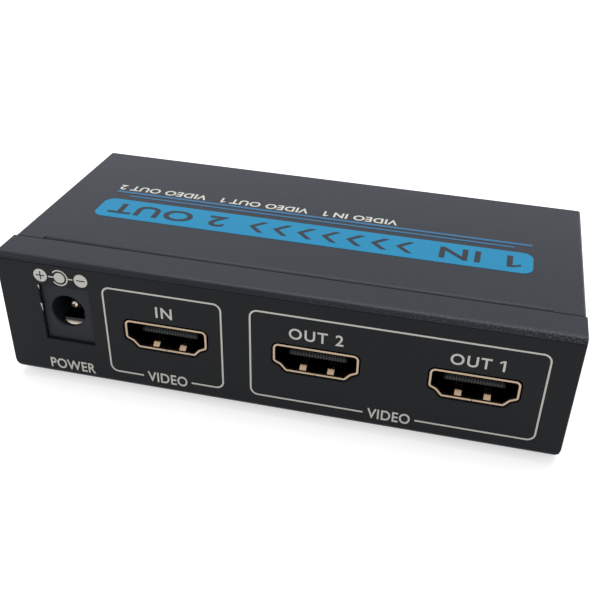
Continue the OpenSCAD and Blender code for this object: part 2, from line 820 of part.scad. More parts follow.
module at_jack(z) {
    translate([jack_x, jack_y, board_top + z]) children();
}

module jack_body() {
    back_d = jack_d - jack_front_d;
    translate([-jack_w / 2, 0, 0]) cube([jack_w, jack_front_d, jack_h]);
    translate([-jack_w / 2, jack_front_d, 0]) cube([jack_w, back_d, jack_axis_h]);
    translate([0, 0, jack_axis_h]) rod_y(jack_w, jack_front_d, back_d);
}

module jack_hollows() {
    leaf_slot = leaf_w + 2 * leaf_gap;
    slot_front = leaf_tip - leaf_t / 2 - 2 * leaf_gap;
    translate([0, 0, jack_axis_h]) {
        rod_y(jack_bore_d, -cut, jack_bore_depth + cut);
        rotate([-90, 0, 0]) translate([0, 0, -jack_chamfer])
            cylinder(d1 = jack_bore_d + 4 * jack_chamfer, d2 = jack_bore_d, h = 2 * jack_chamfer);
        rod_y(jack_shank_d + 2 * seat_gap, 0, jack_d + cut);
    }
    translate([-leaf_slot / 2, slot_front, -cut])
        cube([leaf_slot, jack_bore_depth - slot_front, jack_axis_h + cut]);
    translate([0, arm_front - leaf_gap, -cut])
        cube([switch_x + terminal_t / 2 + leaf_gap, arm_w + 2 * leaf_gap,
              arm_z + terminal_t + leaf_gap + cut]);
}

module power_jack_housing() {
    color(moulded_black) at_jack(0) difference() {
        jack_body();
        jack_hollows();
    }
}

module power_jack_pin() {
    r = jack_pin_d / 2;
    shank_end = jack_d + terminal_t;
    color(tin_plate) at_jack(jack_axis_h) {
        translate([0, jack_pin_setback + r, 0]) sphere(r);
        rod_y(jack_pin_d, jack_pin_setback + r, jack_bore_depth - jack_pin_setback - r);
        rod_y(jack_shank_d, jack_bore_depth - r, shank_end - jack_bore_depth + r + terminal_t);
        rod_y(jack_rivet_d, shank_end, terminal_t);
    }
}

module power_jack_pin_terminal() {
    plate_h = jack_axis_h + jack_rivet_d / 2;
    color(tin_plate) at_jack(0) difference() {
        union() {
            translate([-jack_w / 4, jack_d, 0]) cube([jack_w / 2, terminal_t, plate_h]);
            translate([-terminal_w / 2, jack_d, -board_t - leg_below])
                cube([terminal_w, terminal_t, board_t + leg_below + cut]);
        }
        translate([0, 0, jack_axis_h])
            rod_y(jack_shank_d + 2 * seat_gap, jack_d - cut, terminal_t + 2 * cut);
    }
}

module power_jack_leaf_spring() {
    color("#d8d2c4") at_jack(0) across_x(0, leaf_w) bent_strip([
        [leaf_root, leaf_root_z], [leaf_crest, leaf_crest_z], [leaf_tip, leaf_tip_z]
    ], leaf_t);
}

module power_jack_leaf_terminal() {
    color(tin_plate) at_jack(0) {
        translate([-leaf_w / 2, leaf_leg_y - terminal_t / 2, 0])
            cube([leaf_w, jack_bore_depth - leaf_gap - leaf_leg_y + terminal_t / 2, terminal_t]);
        translate([-terminal_w / 2, leaf_leg_y - terminal_t / 2, -board_t - leg_below])
            cube([terminal_w, terminal_t, board_t + leg_below + terminal_t]);
    }
}

module power_jack_switch_terminal() {
    foot = board_t + leg_below;
    color(tin_plate) at_jack(0) translate([0, arm_front, 0]) {
        translate([0, 0, arm_z]) cube([switch_x + terminal_t / 2, arm_w, terminal_t]);
        translate([switch_x - terminal_t / 2, 0, -foot])
            cube([terminal_t, arm_w, foot + arm_z + terminal_t]);
    }
}

// Chips

// One gull-wing lead that leaves a body's side at x = 0 and stands on z = 0.
module gull_lead(body_h, width) {
    shoulder = chip_lift + body_h / 2;
    translate([0, width / 2, 0]) rotate([90, 0, 0]) linear_extrude(width) {
        translate([0, shoulder]) square([lead_reach / 2, chip_lead_t]);
        translate([lead_reach / 2 - chip_lead_t, 0]) square([chip_lead_t, shoulder + chip_lead_t]);
        translate([lead_reach / 2 - chip_lead_t, 0]) square([lead_reach / 2 + chip_lead_t, chip_lead_t]);
    }
}

module lead_row(count, pitch, body_h, width) {
    for (i = [0:count - 1]) translate([0, (i - (count - 1) / 2) * pitch, 0]) gull_lead(body_h, width);
}

module splitter_chip() {
    color(moulded_black) translate([chip_x, chip_y, board_top]) block([chip_w, chip_w, chip_h], chip_lift);
}

module splitter_chip_leads() {
    color(tin_plate) translate([chip_x, chip_y, board_top]) for (a = [0:90:270]) rotate(a)
        translate([chip_w / 2, 0, 0]) lead_row(chip_leads, chip_pitch, chip_h, chip_lead_w);
}

module memory_chip() {
    color(moulded_black) translate([input_x, memory_y, board_top])
        block([memory_l, memory_w, memory_h], chip_lift);
}

module memory_chip_leads() {
    color(tin_plate) translate([input_x, memory_y, board_top]) for (a = [90, 270]) rotate(a)
        translate([memory_w / 2, 0, 0]) lead_row(4, memory_pitch, memory_h, memory_lead_w);
}

module voltage_regulator() {
    color(moulded_black) translate([regulator_x, regulator_y, board_top])
        block([regulator_l, regulator_w, regulator_h], chip_lift);
}

// Three narrow leads on one side and one wide tab on the other.
module voltage_regulator_leads() {
    color(tin_plate) translate([regulator_x, regulator_y, board_top]) {
        rotate(270) translate([regulator_w / 2, 0, 0])
            lead_row(3, regulator_pitch, regulator_h, regulator_lead_w);
        rotate(90) translate([regulator_w / 2, 0, 0]) lead_row(1, 0, regulator_h, regulator_tab_w);
    }
}

// Other board parts

module stadium(length, width) {
    square([width, length - width], center = true);
    for (end = [-1, 1]) translate([0, end * (length - width) / 2]) circle(d = width);
}

module crystal_can() {
    color(tin_plate) translate([crystal_x, chip_y, board_top]) {
        linear_extrude(crystal_h) stadium(crystal_l - 2 * crystal_rim, crystal_w - 2 * crystal_rim);
        linear_extrude(crystal_rim_h) stadium(crystal_l, crystal_w);
    }
}

module at_cans() {
    for (side = [-1, 1]) translate([regulator_x + side * (can_d / 2 + row_pitch), can_y, board_top])
        children();
}

module capacitor_cans() {
    color(tin_plate) at_cans() translate([0, 0, can_base_h]) cylinder(d = can_d, h = can_h);
}

module capacitor_bases() {
    w = can_d + 2 * can_margin;
    color(moulded_black) at_cans() linear_extrude(can_base_h) intersection() {
        square(w, center = true);
        rotate(45) square(w * sqrt(2) - can_margin * 4, center = true);
    }
}

module power_inductor() {
    color("#4a4a4c") translate([inductor_x, can_y, board_top]) linear_extrude(inductor_h)
        translate([0, -inductor_w / 2]) rounded_rectangle(inductor_w, inductor_w, inductor_r);
}

module protection_arrays() {
    color(moulded_black) for (x = port_centres, i = [-1.5:1:1.5])
        translate([x + i * (array_l + row_pitch / 2), parts_y + row_pitch, board_top])
            block([array_l, array_w, array_h], 0);
}

module chip_resistors() {
    color("#2b2b30") for (x = port_centres, i = [-3:3])
        translate([x + i * (passive_l + row_pitch / 4), parts_y + 2 * row_pitch, board_top])
            block([passive_l, passive_w, resistor_h], 0);
}

module chip_capacitors() {
    row_y = chip_y + chip_w / 2 + lead_reach + row_pitch;
    color("#a98f6a") for (i = [-3:3])
        translate([chip_x + i * (passive_l + row_pitch / 4), row_y, board_top])
            block([passive_l, passive_w, capacitor_h], 0);
}

// Indicators

module indicator(x) {
    r = led_d / 2;
    translate([x, 0, led_z]) {
        rod_y(led_rim_d, led_root, led_rim_len);
        rod_y(led_d, led_root, led_len - r);
        translate([0, led_root + led_len - r, 0]) sphere(r);
    }
}

module power_led() {
    color("#c8332b") indicator(led_centres[3]);
}

module signal_leds() {
    color("#3f9a4a") for (i = [0:2]) indicator(led_centres[i]);
}

module led_leads() {
    drop = board_bottom - leg_below;
    color(tin_plate) for (x = led_centres, side = [-1, 1])
        translate([x + side * lead_pitch / 2 - lead_t / 2, lead_y, 0]) {
            translate([0, 0, led_z - lead_t / 2]) cube([lead_t, lead_run, lead_t]);
            translate([0, 0, drop]) cube([lead_t, lead_t, led_z + lead_t / 2 - drop]);
        }
}

bottom_tray();
top_cover();
connector_panel_film();
cover_screws();
rubber_feet();
circuit_board();
board_standoffs();
board_screws();
port_shell(input_x);  // input_port_shell
port_insulator(input_x);  // input_port_insulator
port_contacts(input_x);  // input_port_contacts
port_springs(input_x, false);  // input_port_floor_springs
port_springs(input_x, true);  // input_port_roof_springs
port_shell(output_1_x);  // output_1_port_shell
port_insulator(output_1_x);  // output_1_port_insulator
port_contacts(output_1_x);  // output_1_port_contacts
port_springs(output_1_x, false);  // output_1_port_floor_springs
port_springs(output_1_x, true);  // output_1_port_roof_springs
port_shell(output_2_x);  // output_2_port_shell
port_insulator(output_2_x);  // output_2_port_insulator
port_contacts(output_2_x);  // output_2_port_contacts
port_springs(output_2_x, false);  // output_2_port_floor_springs
port_springs(output_2_x, true);  // output_2_port_roof_springs
power_jack_housing();
power_jack_pin();
power_jack_pin_terminal();
power_jack_leaf_spring();
power_jack_leaf_terminal();
power_jack_switch_terminal();
splitter_chip();
splitter_chip_leads();
memory_chip();
memory_chip_leads();
voltage_regulator();
voltage_regulator_leads();
crystal_can();
capacitor_cans();
capacitor_bases();
power_inductor();
protection_arrays();
chip_capacitors();
chip_resistors();
power_led();
signal_leds();
led_leads();
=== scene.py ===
"""Looks of a two-way video splitter: a folded steel box with three video ports, a power jack and four lamps.

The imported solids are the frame. This script gives every solid its finish, lays the printed marks on the
connector panel and the lid, and sets a white studio with a camera. Sizes in the classes are in millimetres,
and meshes are in metres.
"""

import logging
import math
from dataclasses import dataclass, field
from enum import Enum
from functools import cache

import bmesh
import bpy
from mathutils import Matrix, Vector


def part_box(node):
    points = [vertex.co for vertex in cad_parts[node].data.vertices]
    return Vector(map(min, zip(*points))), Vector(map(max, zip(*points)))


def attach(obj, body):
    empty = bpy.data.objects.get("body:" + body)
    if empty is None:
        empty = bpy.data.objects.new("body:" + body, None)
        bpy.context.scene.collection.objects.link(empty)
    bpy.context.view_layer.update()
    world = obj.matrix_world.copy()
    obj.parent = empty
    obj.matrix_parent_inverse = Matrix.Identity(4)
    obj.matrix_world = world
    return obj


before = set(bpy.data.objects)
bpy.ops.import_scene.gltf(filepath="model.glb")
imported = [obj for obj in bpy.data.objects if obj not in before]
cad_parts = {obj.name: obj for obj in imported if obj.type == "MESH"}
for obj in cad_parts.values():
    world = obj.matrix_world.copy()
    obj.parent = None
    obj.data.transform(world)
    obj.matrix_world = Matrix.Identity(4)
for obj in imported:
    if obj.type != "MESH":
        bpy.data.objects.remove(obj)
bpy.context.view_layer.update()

MM = 0.001
CASE_BODY = "case"
# Most of a noise pattern's values lie between these two.
NOISE_LOW, NOISE_HIGH = 0.3, 0.7
GRAIN_DETAIL, GRAIN_ROUGHNESS, CLOUD_DETAIL = 3.0, 0.6, 2.0
# Sockets of the Mix node's two colours and of its result.
MIX_A, MIX_B, MIX_RESULT = 6, 7, 2
WHITE = "#ffffff"
# Points of a flat drawing that are closer than this are one, in millimetres.
MERGE_MM = 0.001
# Distance between printed letters against the font's own.
LETTER_TRACKING = 1.05
log = logging.getLogger("splitter")


def hex_linear(code: str) -> tuple[float, float, float, float]:
    """Turn an sRGB hex colour into linear light, by the curve of the sRGB standard.

    Args:
        code: Colour as #rrggbb.

    Returns:
        Linear red, green and blue with an alpha of 1.
    """
    shares = [int(code[i:i + 2], 16) / 255 for i in (1, 3, 5)]
    linear = [s / 12.92 if s <= 0.04045 else ((s + 0.055) / 1.055) ** 2.4 for s in shares]
    return (*linear, 1.0)


def add_node(tree: bpy.types.NodeTree, kind: str, inputs: dict | None = None, **settings) -> bpy.types.Node:
    """Add a shader node, set its properties, and set or link its inputs.

    Args:
        tree: Node tree that gets the node.
        kind: Type name of the node.
        inputs: Values or output sockets, by the input's name or number.
        settings: Properties of the node by name.

    Returns:
        The new node.
    """
    node = tree.nodes.new(kind)
    for name, value in settings.items():
        setattr(node, name, value)
    for name, value in (inputs or {}).items():
        if isinstance(value, bpy.types.NodeSocket):
            tree.links.new(value, node.inputs[name])
        else:
            node.inputs[name].default_value = value
    return node


def per_metre(size_mm: float) -> float:
    """Scale of a pattern whose features are size_mm wide, on coordinates in metres."""
    return 1 / (size_mm * MM)


def new_material(name: str) -> tuple[bpy.types.Material, bpy.types.NodeTree]:
    """Make a material with an empty node tree.

    Args:
        name: Name of the material.

    Returns:
        The material and its node tree.
    """
    material = bpy.data.materials.new(name)
    material.use_nodes = True
    material.node_tree.nodes.clear()
    return material, material.node_tree


@dataclass(frozen=True)
class Finish:
    """A grained surface that isn't metal: its colours, its gloss and the sizes of its grain."""

    name: str
    colour: str
    shade: str
    roughness: float
    gloss_spread: float = 0.06
    specular: float = 0.5
    ior: float = 1.5
    grain_mm: float = 0.3
    depth_mm: float = 0.01
    cloud_mm: float = 12.0
    metallic: float = 0.0

    def grain(self, tree: bpy.types.NodeTree, place: bpy.types.NodeSocket) -> bpy.types.NodeSocket:
        """Draw the fine grain.

        Args:
            tree: Node tree of the material.
            place: Coordinates in metres.

        Returns:
            The grain's height from 0 to 1.
        """
        inputs = {"Vector": place, "Scale": per_metre(self.grain_mm), "Detail": GRAIN_DETAIL,
                  "Roughness": GRAIN_ROUGHNESS}
        return add_node(tree, "ShaderNodeTexNoise", inputs).outputs["Fac"]

    def tint(self, tree: bpy.types.NodeTree, place: bpy.types.NodeSocket) -> bpy.types.NodeSocket:
        """Mix the two colours in soft clouds.

        Args:
            tree: Node tree of the material.
            place: Coordinates in metres.

        Returns:
            The surface's colour.
        """
        inputs = {"Vector": place, "Scale": per_metre(self.cloud_mm), "Detail": CLOUD_DETAIL}
        cloud = add_node(tree, "ShaderNodeTexNoise", inputs).outputs["Fac"]
        inputs = {0: cloud, MIX_A: hex_linear(self.colour), MIX_B: hex_linear(self.shade)}
        return add_node(tree, "ShaderNodeMix", inputs, data_type="RGBA").outputs[MIX_RESULT]

    def build(self) -> bpy.types.Material:
        """Build the material on the piece's own coordinates.

        Returns:
            The finished material.
        """
        material, tree = new_material(self.name)
        place = add_node(tree, "ShaderNodeTexCoord").outputs["Object"]
        height = self.grain(tree, place)
        low, high = self.roughness - self.gloss_spread, self.roughness + self.gloss_spread
        inputs = {"Value": height, "From Min": NOISE_LOW, "From Max": NOISE_HIGH,
                  "To Min": low, "To Max": high}
        gloss = add_node(tree, "ShaderNodeMapRange", inputs).outputs["Result"]
        inputs = {"Height": height, "Distance": self.depth_mm * MM}
        relief = add_node(tree, "ShaderNodeBump", inputs).outputs["Normal"]
        inputs = {
            "Base Color": self.tint(tree, place), "Roughness": gloss, "Normal": relief,
            "Metallic": self.metallic, "IOR": self.ior, "Specular IOR Level": self.specular,
        }
        shader = add_node(tree, "ShaderNodeBsdfPrincipled", inputs)
        add_node(tree, "ShaderNodeOutputMaterial", {"Surface": shader.outputs["BSDF"]})
        return material


@dataclass(frozen=True)
class MetalFinish(Finish):
    """A plated or drawn metal, with fine lines along one axis."""

    metallic: float = 1.0
    stretch: float = 12.0

    def grain(self, tree: bpy.types.NodeTree, place: bpy.types.NodeSocket) -> bpy.types.NodeSocket:
        """Draw the fine lines of rolling or drawing along Y.

        Args:
            tree: Node tree of the material.
            place: Coordinates in metres.

        Returns:
            The lines' height from 0 to 1.
        """
        inputs = {"Vector": place, "Scale": (1.0, 1 / self.stretch, 1.0)}
        along = add_node(tree, "ShaderNodeMapping", inputs).outputs["Vector"]
        return super().grain(tree, along)


@dataclass(frozen=True)
class PaintedShadeMetal(MetalFinish):
    """A plated metal with painted shade: bright at one place and darker along an axis from there."""

    # Colour of the painted shade that the metal darkens to along the axis.
    painted_shade_colour: str = "#1d1713"
    axis: str = "Y"
    start: float = 0.0
    fade_mm: tuple[float, float] = (0.1, 0.9)

    def tint(self, tree: bpy.types.NodeTree, place: bpy.types.NodeSocket) -> bpy.types.NodeSocket:
        """Fade the bright colour to the painted shade.

        Args:
            tree: Node tree of the material.
            place: Coordinates in metres.

        Returns:
            The metal's colour.
        """
        # Painted shade: the bright colour darkens along the axis.
        bright = super().tint(tree, place)
        along = add_node(tree, "ShaderNodeSeparateXYZ", {"Vector": place}).outputs[self.axis]
        near, far = (self.start + mm * MM for mm in self.fade_mm)
        share = add_node(tree, "ShaderNodeMapRange", {"Value": along, "From Min": near, "From Max": far})
        inputs = {0: share.outputs["Result"], MIX_A: bright, MIX_B: hex_linear(self.painted_shade_colour)}
        return add_node(tree, "ShaderNodeMix", inputs, data_type="RGBA").outputs[MIX_RESULT]


@dataclass(frozen=True)
class PaintedGlintCoat(Finish):
    """A baked coat with painted glints: pale fine grains along one bend, more towards its right end."""

    # Pale colour of the painted glints.
    glint_colour: str = "#585f5d"
    glint_mm: float = 0.22
    glint_levels: tuple[float, float] = (0.5, 0.66)
    bend_at: tuple[float, float] = (0.0, 0.0)
    bend_mm: float = 1.8
    along_mm: tuple[float, float] = (-8.0, 46.0)

    def tint(self, tree: bpy.types.NodeTree, place: bpy.types.NodeSocket) -> bpy.types.NodeSocket:
        """Lay the painted glints, pale fine grains, over the coat's clouds.

        Args:
            tree: Node tree of the material.
            place: Coordinates in metres.

        Returns:
            The coat's colour.
        """
        ground = super().tint(tree, place)
        axes = add_node(tree, "ShaderNodeSeparateXYZ", {"Vector": place}).outputs
        inputs = {"Vector": place, "Scale": per_metre(self.glint_mm), "Detail": GRAIN_DETAIL}
        grains = add_node(tree, "ShaderNodeTexNoise", inputs).outputs["Fac"]
        front, top = self.bend_at
        reach = self.bend_mm * MM
        ranges = (
            (grains, *self.glint_levels),
            (axes["X"], *(mm * MM for mm in self.along_mm)),
            (axes["Y"], front + reach, front),
            (axes["Z"], top - reach, top),
        )
        share = 1.0
        for value, start, end in ranges:
            inputs = {"Value": value, "From Min": start, "From Max": end}
            step = add_node(tree, "ShaderNodeMapRange", inputs).outputs["Result"]
            share = add_node(tree, "ShaderNodeMath", {0: step, 1: share}, operation="MULTIPLY").outputs[0]
        # Painted glints: the pale colour stands in for light caught by the coat's grain on the bend.
        inputs = {0: share, MIX_A: ground, MIX_B: hex_linear(self.glint_colour)}
        return add_node(tree, "ShaderNodeMix", inputs, data_type="RGBA").outputs[MIX_RESULT]


@dataclass(frozen=True)
class LensFinish(Finish):
    """Tinted clear epoxy, cast: light goes in, is coloured, and comes out softened."""

    transmission: float = 0.45

    def build(self) -> bpy.types.Material:
        """Build the tinted clear material.

        Returns:
            The finished material.
        """
        material = super().build()
        shader = material.node_tree.nodes["Principled BSDF"]
        shader.inputs["Transmission Weight"].default_value = self.transmission
        return material


@dataclass(frozen=True)
class SolderMask(Finish):
    """Glass-fibre board under green lacquer, with copper tracks that show through as paler lines."""

    track_mm: float = 1.2
    track_share: tuple[float, float] = (0.06, 0.1)
    track_jitter: float = 0.6
    track_colour: str = "#2f7a50"

    def tint(self, tree: bpy.types.NodeTree, place: bpy.types.NodeSocket) -> bpy.types.NodeSocket:
        """Lay the tracks over the lacquer's clouds.

        Args:
            tree: Node tree of the material.
            place: Coordinates in metres.

        Returns:
            The board's colour.
        """
        ground = super().tint(tree, place)
        inputs = {"Vector": place, "Scale": per_metre(self.track_mm), "Randomness": self.track_jitter}
        cells = add_node(tree, "ShaderNodeTexVoronoi", inputs, feature="DISTANCE_TO_EDGE")
        inputs = {"Value": cells.outputs["Distance"], "From Min": self.track_share[0],
                  "From Max": self.track_share[1], "To Min": 1.0, "To Max": 0.0}
        line = add_node(tree, "ShaderNodeMapRange", inputs).outputs["Result"]
        inputs = {0: line, MIX_A: ground, MIX_B: hex_linear(self.track_colour)}
        return add_node(tree, "ShaderNodeMix", inputs, data_type="RGBA").outputs[MIX_RESULT]


@cache
def finished(finish: Finish) -> bpy.types.Material:
    """Build a finish once, so that every piece that has it shares one material."""
    return finish.build()


# Powder-coated steel, sprayed and baked: a matt black-grey skin whose orange peel softens every reflection.
# The real peel is about 0.1 mm wide, too fine to show, so it is drawn three times as coarse.
POWDER_COAT = Finish(
    "powder_coated_steel_baked", "#191c22", "#1e2127", roughness=0.31, specular=0.2,
    grain_mm=0.3, depth_mm=0.02, cloud_mm=18,
)
# The same coat on the tray, with painted glints: pale grains along its front bend.
TRAY_COAT = PaintedGlintCoat(
    "powder_coated_steel_painted_glints", "#191c22", "#1e2127", roughness=0.31, specular=0.2,
    grain_mm=0.3, depth_mm=0.02, cloud_mm=18,
    bend_at=(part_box("bottom_tray")[0].y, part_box("bottom_tray")[1].z),
)
# Polyester film, screen printed matt: darker than the coat, with almost no sheen.
PANEL_FILM = Finish(
    "polyester_film_matt_printed", "#14171a", "#181b1e", roughness=0.6, gloss_spread=0.05, specular=0.15,
    grain_mm=0.25, depth_mm=0.004, cloud_mm=30,
)
# White screen ink, cured: opaque and satin, a little yellowed and uneven.
WHITE_INK = Finish(
    "white_screen_ink_cured", "#cfcdc6", "#c2c0b9", roughness=0.55, gloss_spread=0.05, specular=0.3,
    grain_mm=0.4, depth_mm=0.004, cloud_mm=3,
)
# Blue screen ink, cured over the powder coat, so it takes on the coat's grain.
BLUE_INK = Finish(
    "blue_screen_ink_cured", "#0783ae", "#067da6", roughness=0.4, specular=0.15,
    grain_mm=0.3, depth_mm=0.015, cloud_mm=9,
)
# The same ink in a thin darker line.
LINE_INK = Finish(
    "dark_blue_screen_ink_cured", "#2a688f", "#266086", roughness=0.36, specular=0.2,
    grain_mm=0.3, depth_mm=0.015, cloud_mm=6,
)
# Black screen ink, cured: lies on the blue and looks like the coat.
BLACK_INK = Finish(
    "black_screen_ink_cured", "#191c22", "#1e2127", roughness=0.33, specular=0.18,
    grain_mm=0.3, depth_mm=0.015, cloud_mm=9,
)
# Steel screws, blackened in an oxide bath: dark and faintly oily.
BLACK_OXIDE = MetalFinish(
    "steel_black_oxide_bath", "#2e2f32", "#393a3d", roughness=0.38, gloss_spread=0.08,
    grain_mm=0.2, depth_mm=0.003,
)
# Neoprene rubber, moulded: dead matt with a dusty bloom.
RUBBER = Finish(
    "neoprene_rubber_moulded", "#171718", "#242425", roughness=0.78, specular=0.3,
    grain_mm=0.35, depth_mm=0.02, cloud_mm=4,
)
# Glass-fibre board with solder mask, curtain coated: satin green over copper.
BOARD = SolderMask(
    "glass_fibre_board_solder_mask", "#1d5636", "#1a4d31", roughness=0.35, gloss_spread=0.05,
    grain_mm=0.4, depth_mm=0.004,
)
# Brass tinned in a bath: bright, soft and slightly grey.
TIN = MetalFinish(
    "brass_tin_plated", "#c4c6c8", "#b2b4b6", roughness=0.28,
    grain_mm=0.25, depth_mm=0.002,
)
# Phosphor bronze, stamped and flash plated with gold: a pale warm gold at the mouth, with painted shade that
# darkens it inside.
SHELL_GOLD = PaintedShadeMetal(
    "phosphor_bronze_gold_flash_painted_shade", "#b09c87", "#a38f78", roughness=0.3,
    grain_mm=0.2, depth_mm=0.002,
    start=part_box("input_port_shell")[0].y,
)
# The same bronze in the spring fingers, which plugs rub bright.
FINGER_GOLD = MetalFinish(
    "phosphor_bronze_rubbed_bright", "#d4b492", "#c8a885", roughness=0.26, gloss_spread=0.05,
    grain_mm=0.2, depth_mm=0.002,
)
# Copper alloy contacts with thicker gold: yellow and bright.
CONTACT_GOLD = MetalFinish(
    "copper_alloy_gold_plated", "#dcb668", "#cfa653", roughness=0.25, gloss_spread=0.05,
    grain_mm=0.15, depth_mm=0.001,
)
# Glass-filled nylon, moulded in a spark-eroded tool: black with a fine even grain.
BLACK_NYLON = Finish(
    "glass_filled_nylon_moulded", "#1c1e22", "#212327", roughness=0.55, specular=0.2,
    grain_mm=0.25, depth_mm=0.008, cloud_mm=5,
)
# Liquid crystal polymer, moulded thin: the ports' tongues, a dense black with a smoother skin.
BLACK_TONGUE = Finish(
    "liquid_crystal_polymer_moulded", "#0e0f10", "#131416", roughness=0.45, gloss_spread=0.05, specular=0.2,
    grain_mm=0.2, depth_mm=0.004, cloud_mm=4,
)
# Spring steel, nickel plated: bright with a warm cast, and darkened towards the crest by painted shade.
NICKEL = PaintedShadeMetal(
    "spring_steel_nickel_plated_painted_shade", "#ecd8c2", "#e0cbb4", roughness=0.17, gloss_spread=0.04,
    grain_mm=0.2, depth_mm=0.001,
    painted_shade_colour="#3a3633", axis="Z", start=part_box("power_jack_leaf_spring")[1].z, fade_mm=(-0.9, -0.45),
)
# Brass, nickel plated in a barrel: the jack's pin, a warm pale grey with soft highlights.
PIN_NICKEL = MetalFinish(
    "brass_nickel_plated", "#cfc2b2", "#c2b5a4", roughness=0.24, gloss_spread=0.05,
    grain_mm=0.2, depth_mm=0.001,
)
# Painted shade of the pin's hollow, which the pin's mesh doesn't cut: a brown, dull cap.
PIN_HOLLOW_SHADE = Finish(
    "pin_hollow_painted_shade", "#5b4a38", "#4e4030", roughness=0.6, gloss_spread=0.05, specular=0.2,
    grain_mm=0.15, depth_mm=0.002, cloud_mm=1,
)
# Copper alloy, sheared: the contacts' ends on the tongues, a dull dark grey.
SHEARED_ENDS = Finish(
    "copper_alloy_sheared_ends", "#404244", "#37393b", roughness=0.5, gloss_spread=0.05, specular=0.3,
    grain_mm=0.15, depth_mm=0.002, cloud_mm=1,
)
# Aluminium cans, deep drawn: pale, with fine lines along the wall.
ALUMINIUM = MetalFinish(
    "aluminium_deep_drawn", "#c9cbce", "#babcc0", roughness=0.34,
    grain_mm=0.2, depth_mm=0.002,
)
# Ferrite, pressed and fired: a dull dark grey.
FERRITE = Finish(
    "ferrite_pressed_fired", "#3f3f41", "#4a4a4c", roughness=0.65,
    grain_mm=0.2, depth_mm=0.012, cloud_mm=2,
)
# Barium titanate ceramic, fired: a smooth tan.
CERAMIC = Finish(
    "barium_titanate_ceramic_fired", "#a1865f", "#ad936e", roughness=0.5, gloss_spread=0.05,
    grain_mm=0.15, depth_mm=0.004, cloud_mm=2,
)
# Alumina chip with a glazed black back: smooth and a little glossy.
GLAZED_CHIP = Finish(
    "alumina_chip_glazed", "#232327", "#2d2d32", roughness=0.3, gloss_spread=0.05,
    grain_mm=0.15, depth_mm=0.002, cloud_mm=2,
)
# Lamp bodies, cast in tinted epoxy.
RED_EPOXY = LensFinish(
    "epoxy_lens_red_cast", "#c8332b", "#bd2c25", roughness=0.16, gloss_spread=0.03,
    ior=1.54, grain_mm=0.5, depth_mm=0.002, cloud_mm=3,
)
GREEN_EPOXY = LensFinish(
    "epoxy_lens_green_cast", "#3f9a4a", "#388f43", roughness=0.16, gloss_spread=0.03,
    ior=1.54, grain_mm=0.5, depth_mm=0.002, cloud_mm=3,
)


def dress(node: str, finish: Finish) -> None:
    """Give a solid of the frame its finish.

    Args:
        node: Name of the solid's node.
        finish: What its surface is made of.
    """
    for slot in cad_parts[node].material_slots:
        slot.material = finished(finish)
    log.info("%s: %s", node, finish.name)


def add_piece(name: str, part: bmesh.types.BMesh, finish: Finish) -> None:
    """Make a piece of a mesh that is in its place in metres, let it ride on the case and free the mesh.

    Args:
        name: Name of the piece.
        part: Its mesh.
        finish: What its surface is made of.
    """
    mesh = bpy.data.meshes.new(name)
    part.to_mesh(mesh)
    part.free()
    mesh.materials.append(finished(finish))
    piece = bpy.data.objects.new(name, mesh)
    bpy.context.scene.collection.objects.link(piece)
    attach(piece, CASE_BODY)
    log.info("%s: %d faces", piece.name, len(mesh.polygons))


def whole(part: bmesh.types.BMesh) -> list:
    """All vertices, edges and faces of a mesh, as the operators take them."""
    return part.verts[:] + part.edges[:] + part.faces[:]


def only_verts(geometry: list) -> list[bmesh.types.BMVert]:
    """The vertices among the elements that an operator returns."""
    return [item for item in geometry if isinstance(item, bmesh.types.BMVert)]


class Ground(Enum):
    """What a printed mark lies on: the node, and the name of the record's slot that goes with it."""

    FILM = ("connector_panel_film", "panel_film")
    LID = ("top_cover", "coated_steel")

    def __init__(self, node: str, slot: str) -> None:
        """Keep the two names.

        Args:
            node: Name of the node.
            slot: Name of the slot.
        """
        self.node = node
        self.slot = slot

    def place(self) -> Matrix:
        """Find the ground's outer face.

        Returns:
            Matrix from a flat drawing in millimetres to that face in metres.
        """
        low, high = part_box(self.node)
        if self is Ground.FILM:
            turn = Matrix.Translation((0, low.y, 0)) @ Matrix.Rotation(math.pi / 2, 4, "X")
        else:
            turn = Matrix.Translation((0, 0, high.z))
        return turn @ Matrix.Scale(MM, 4)


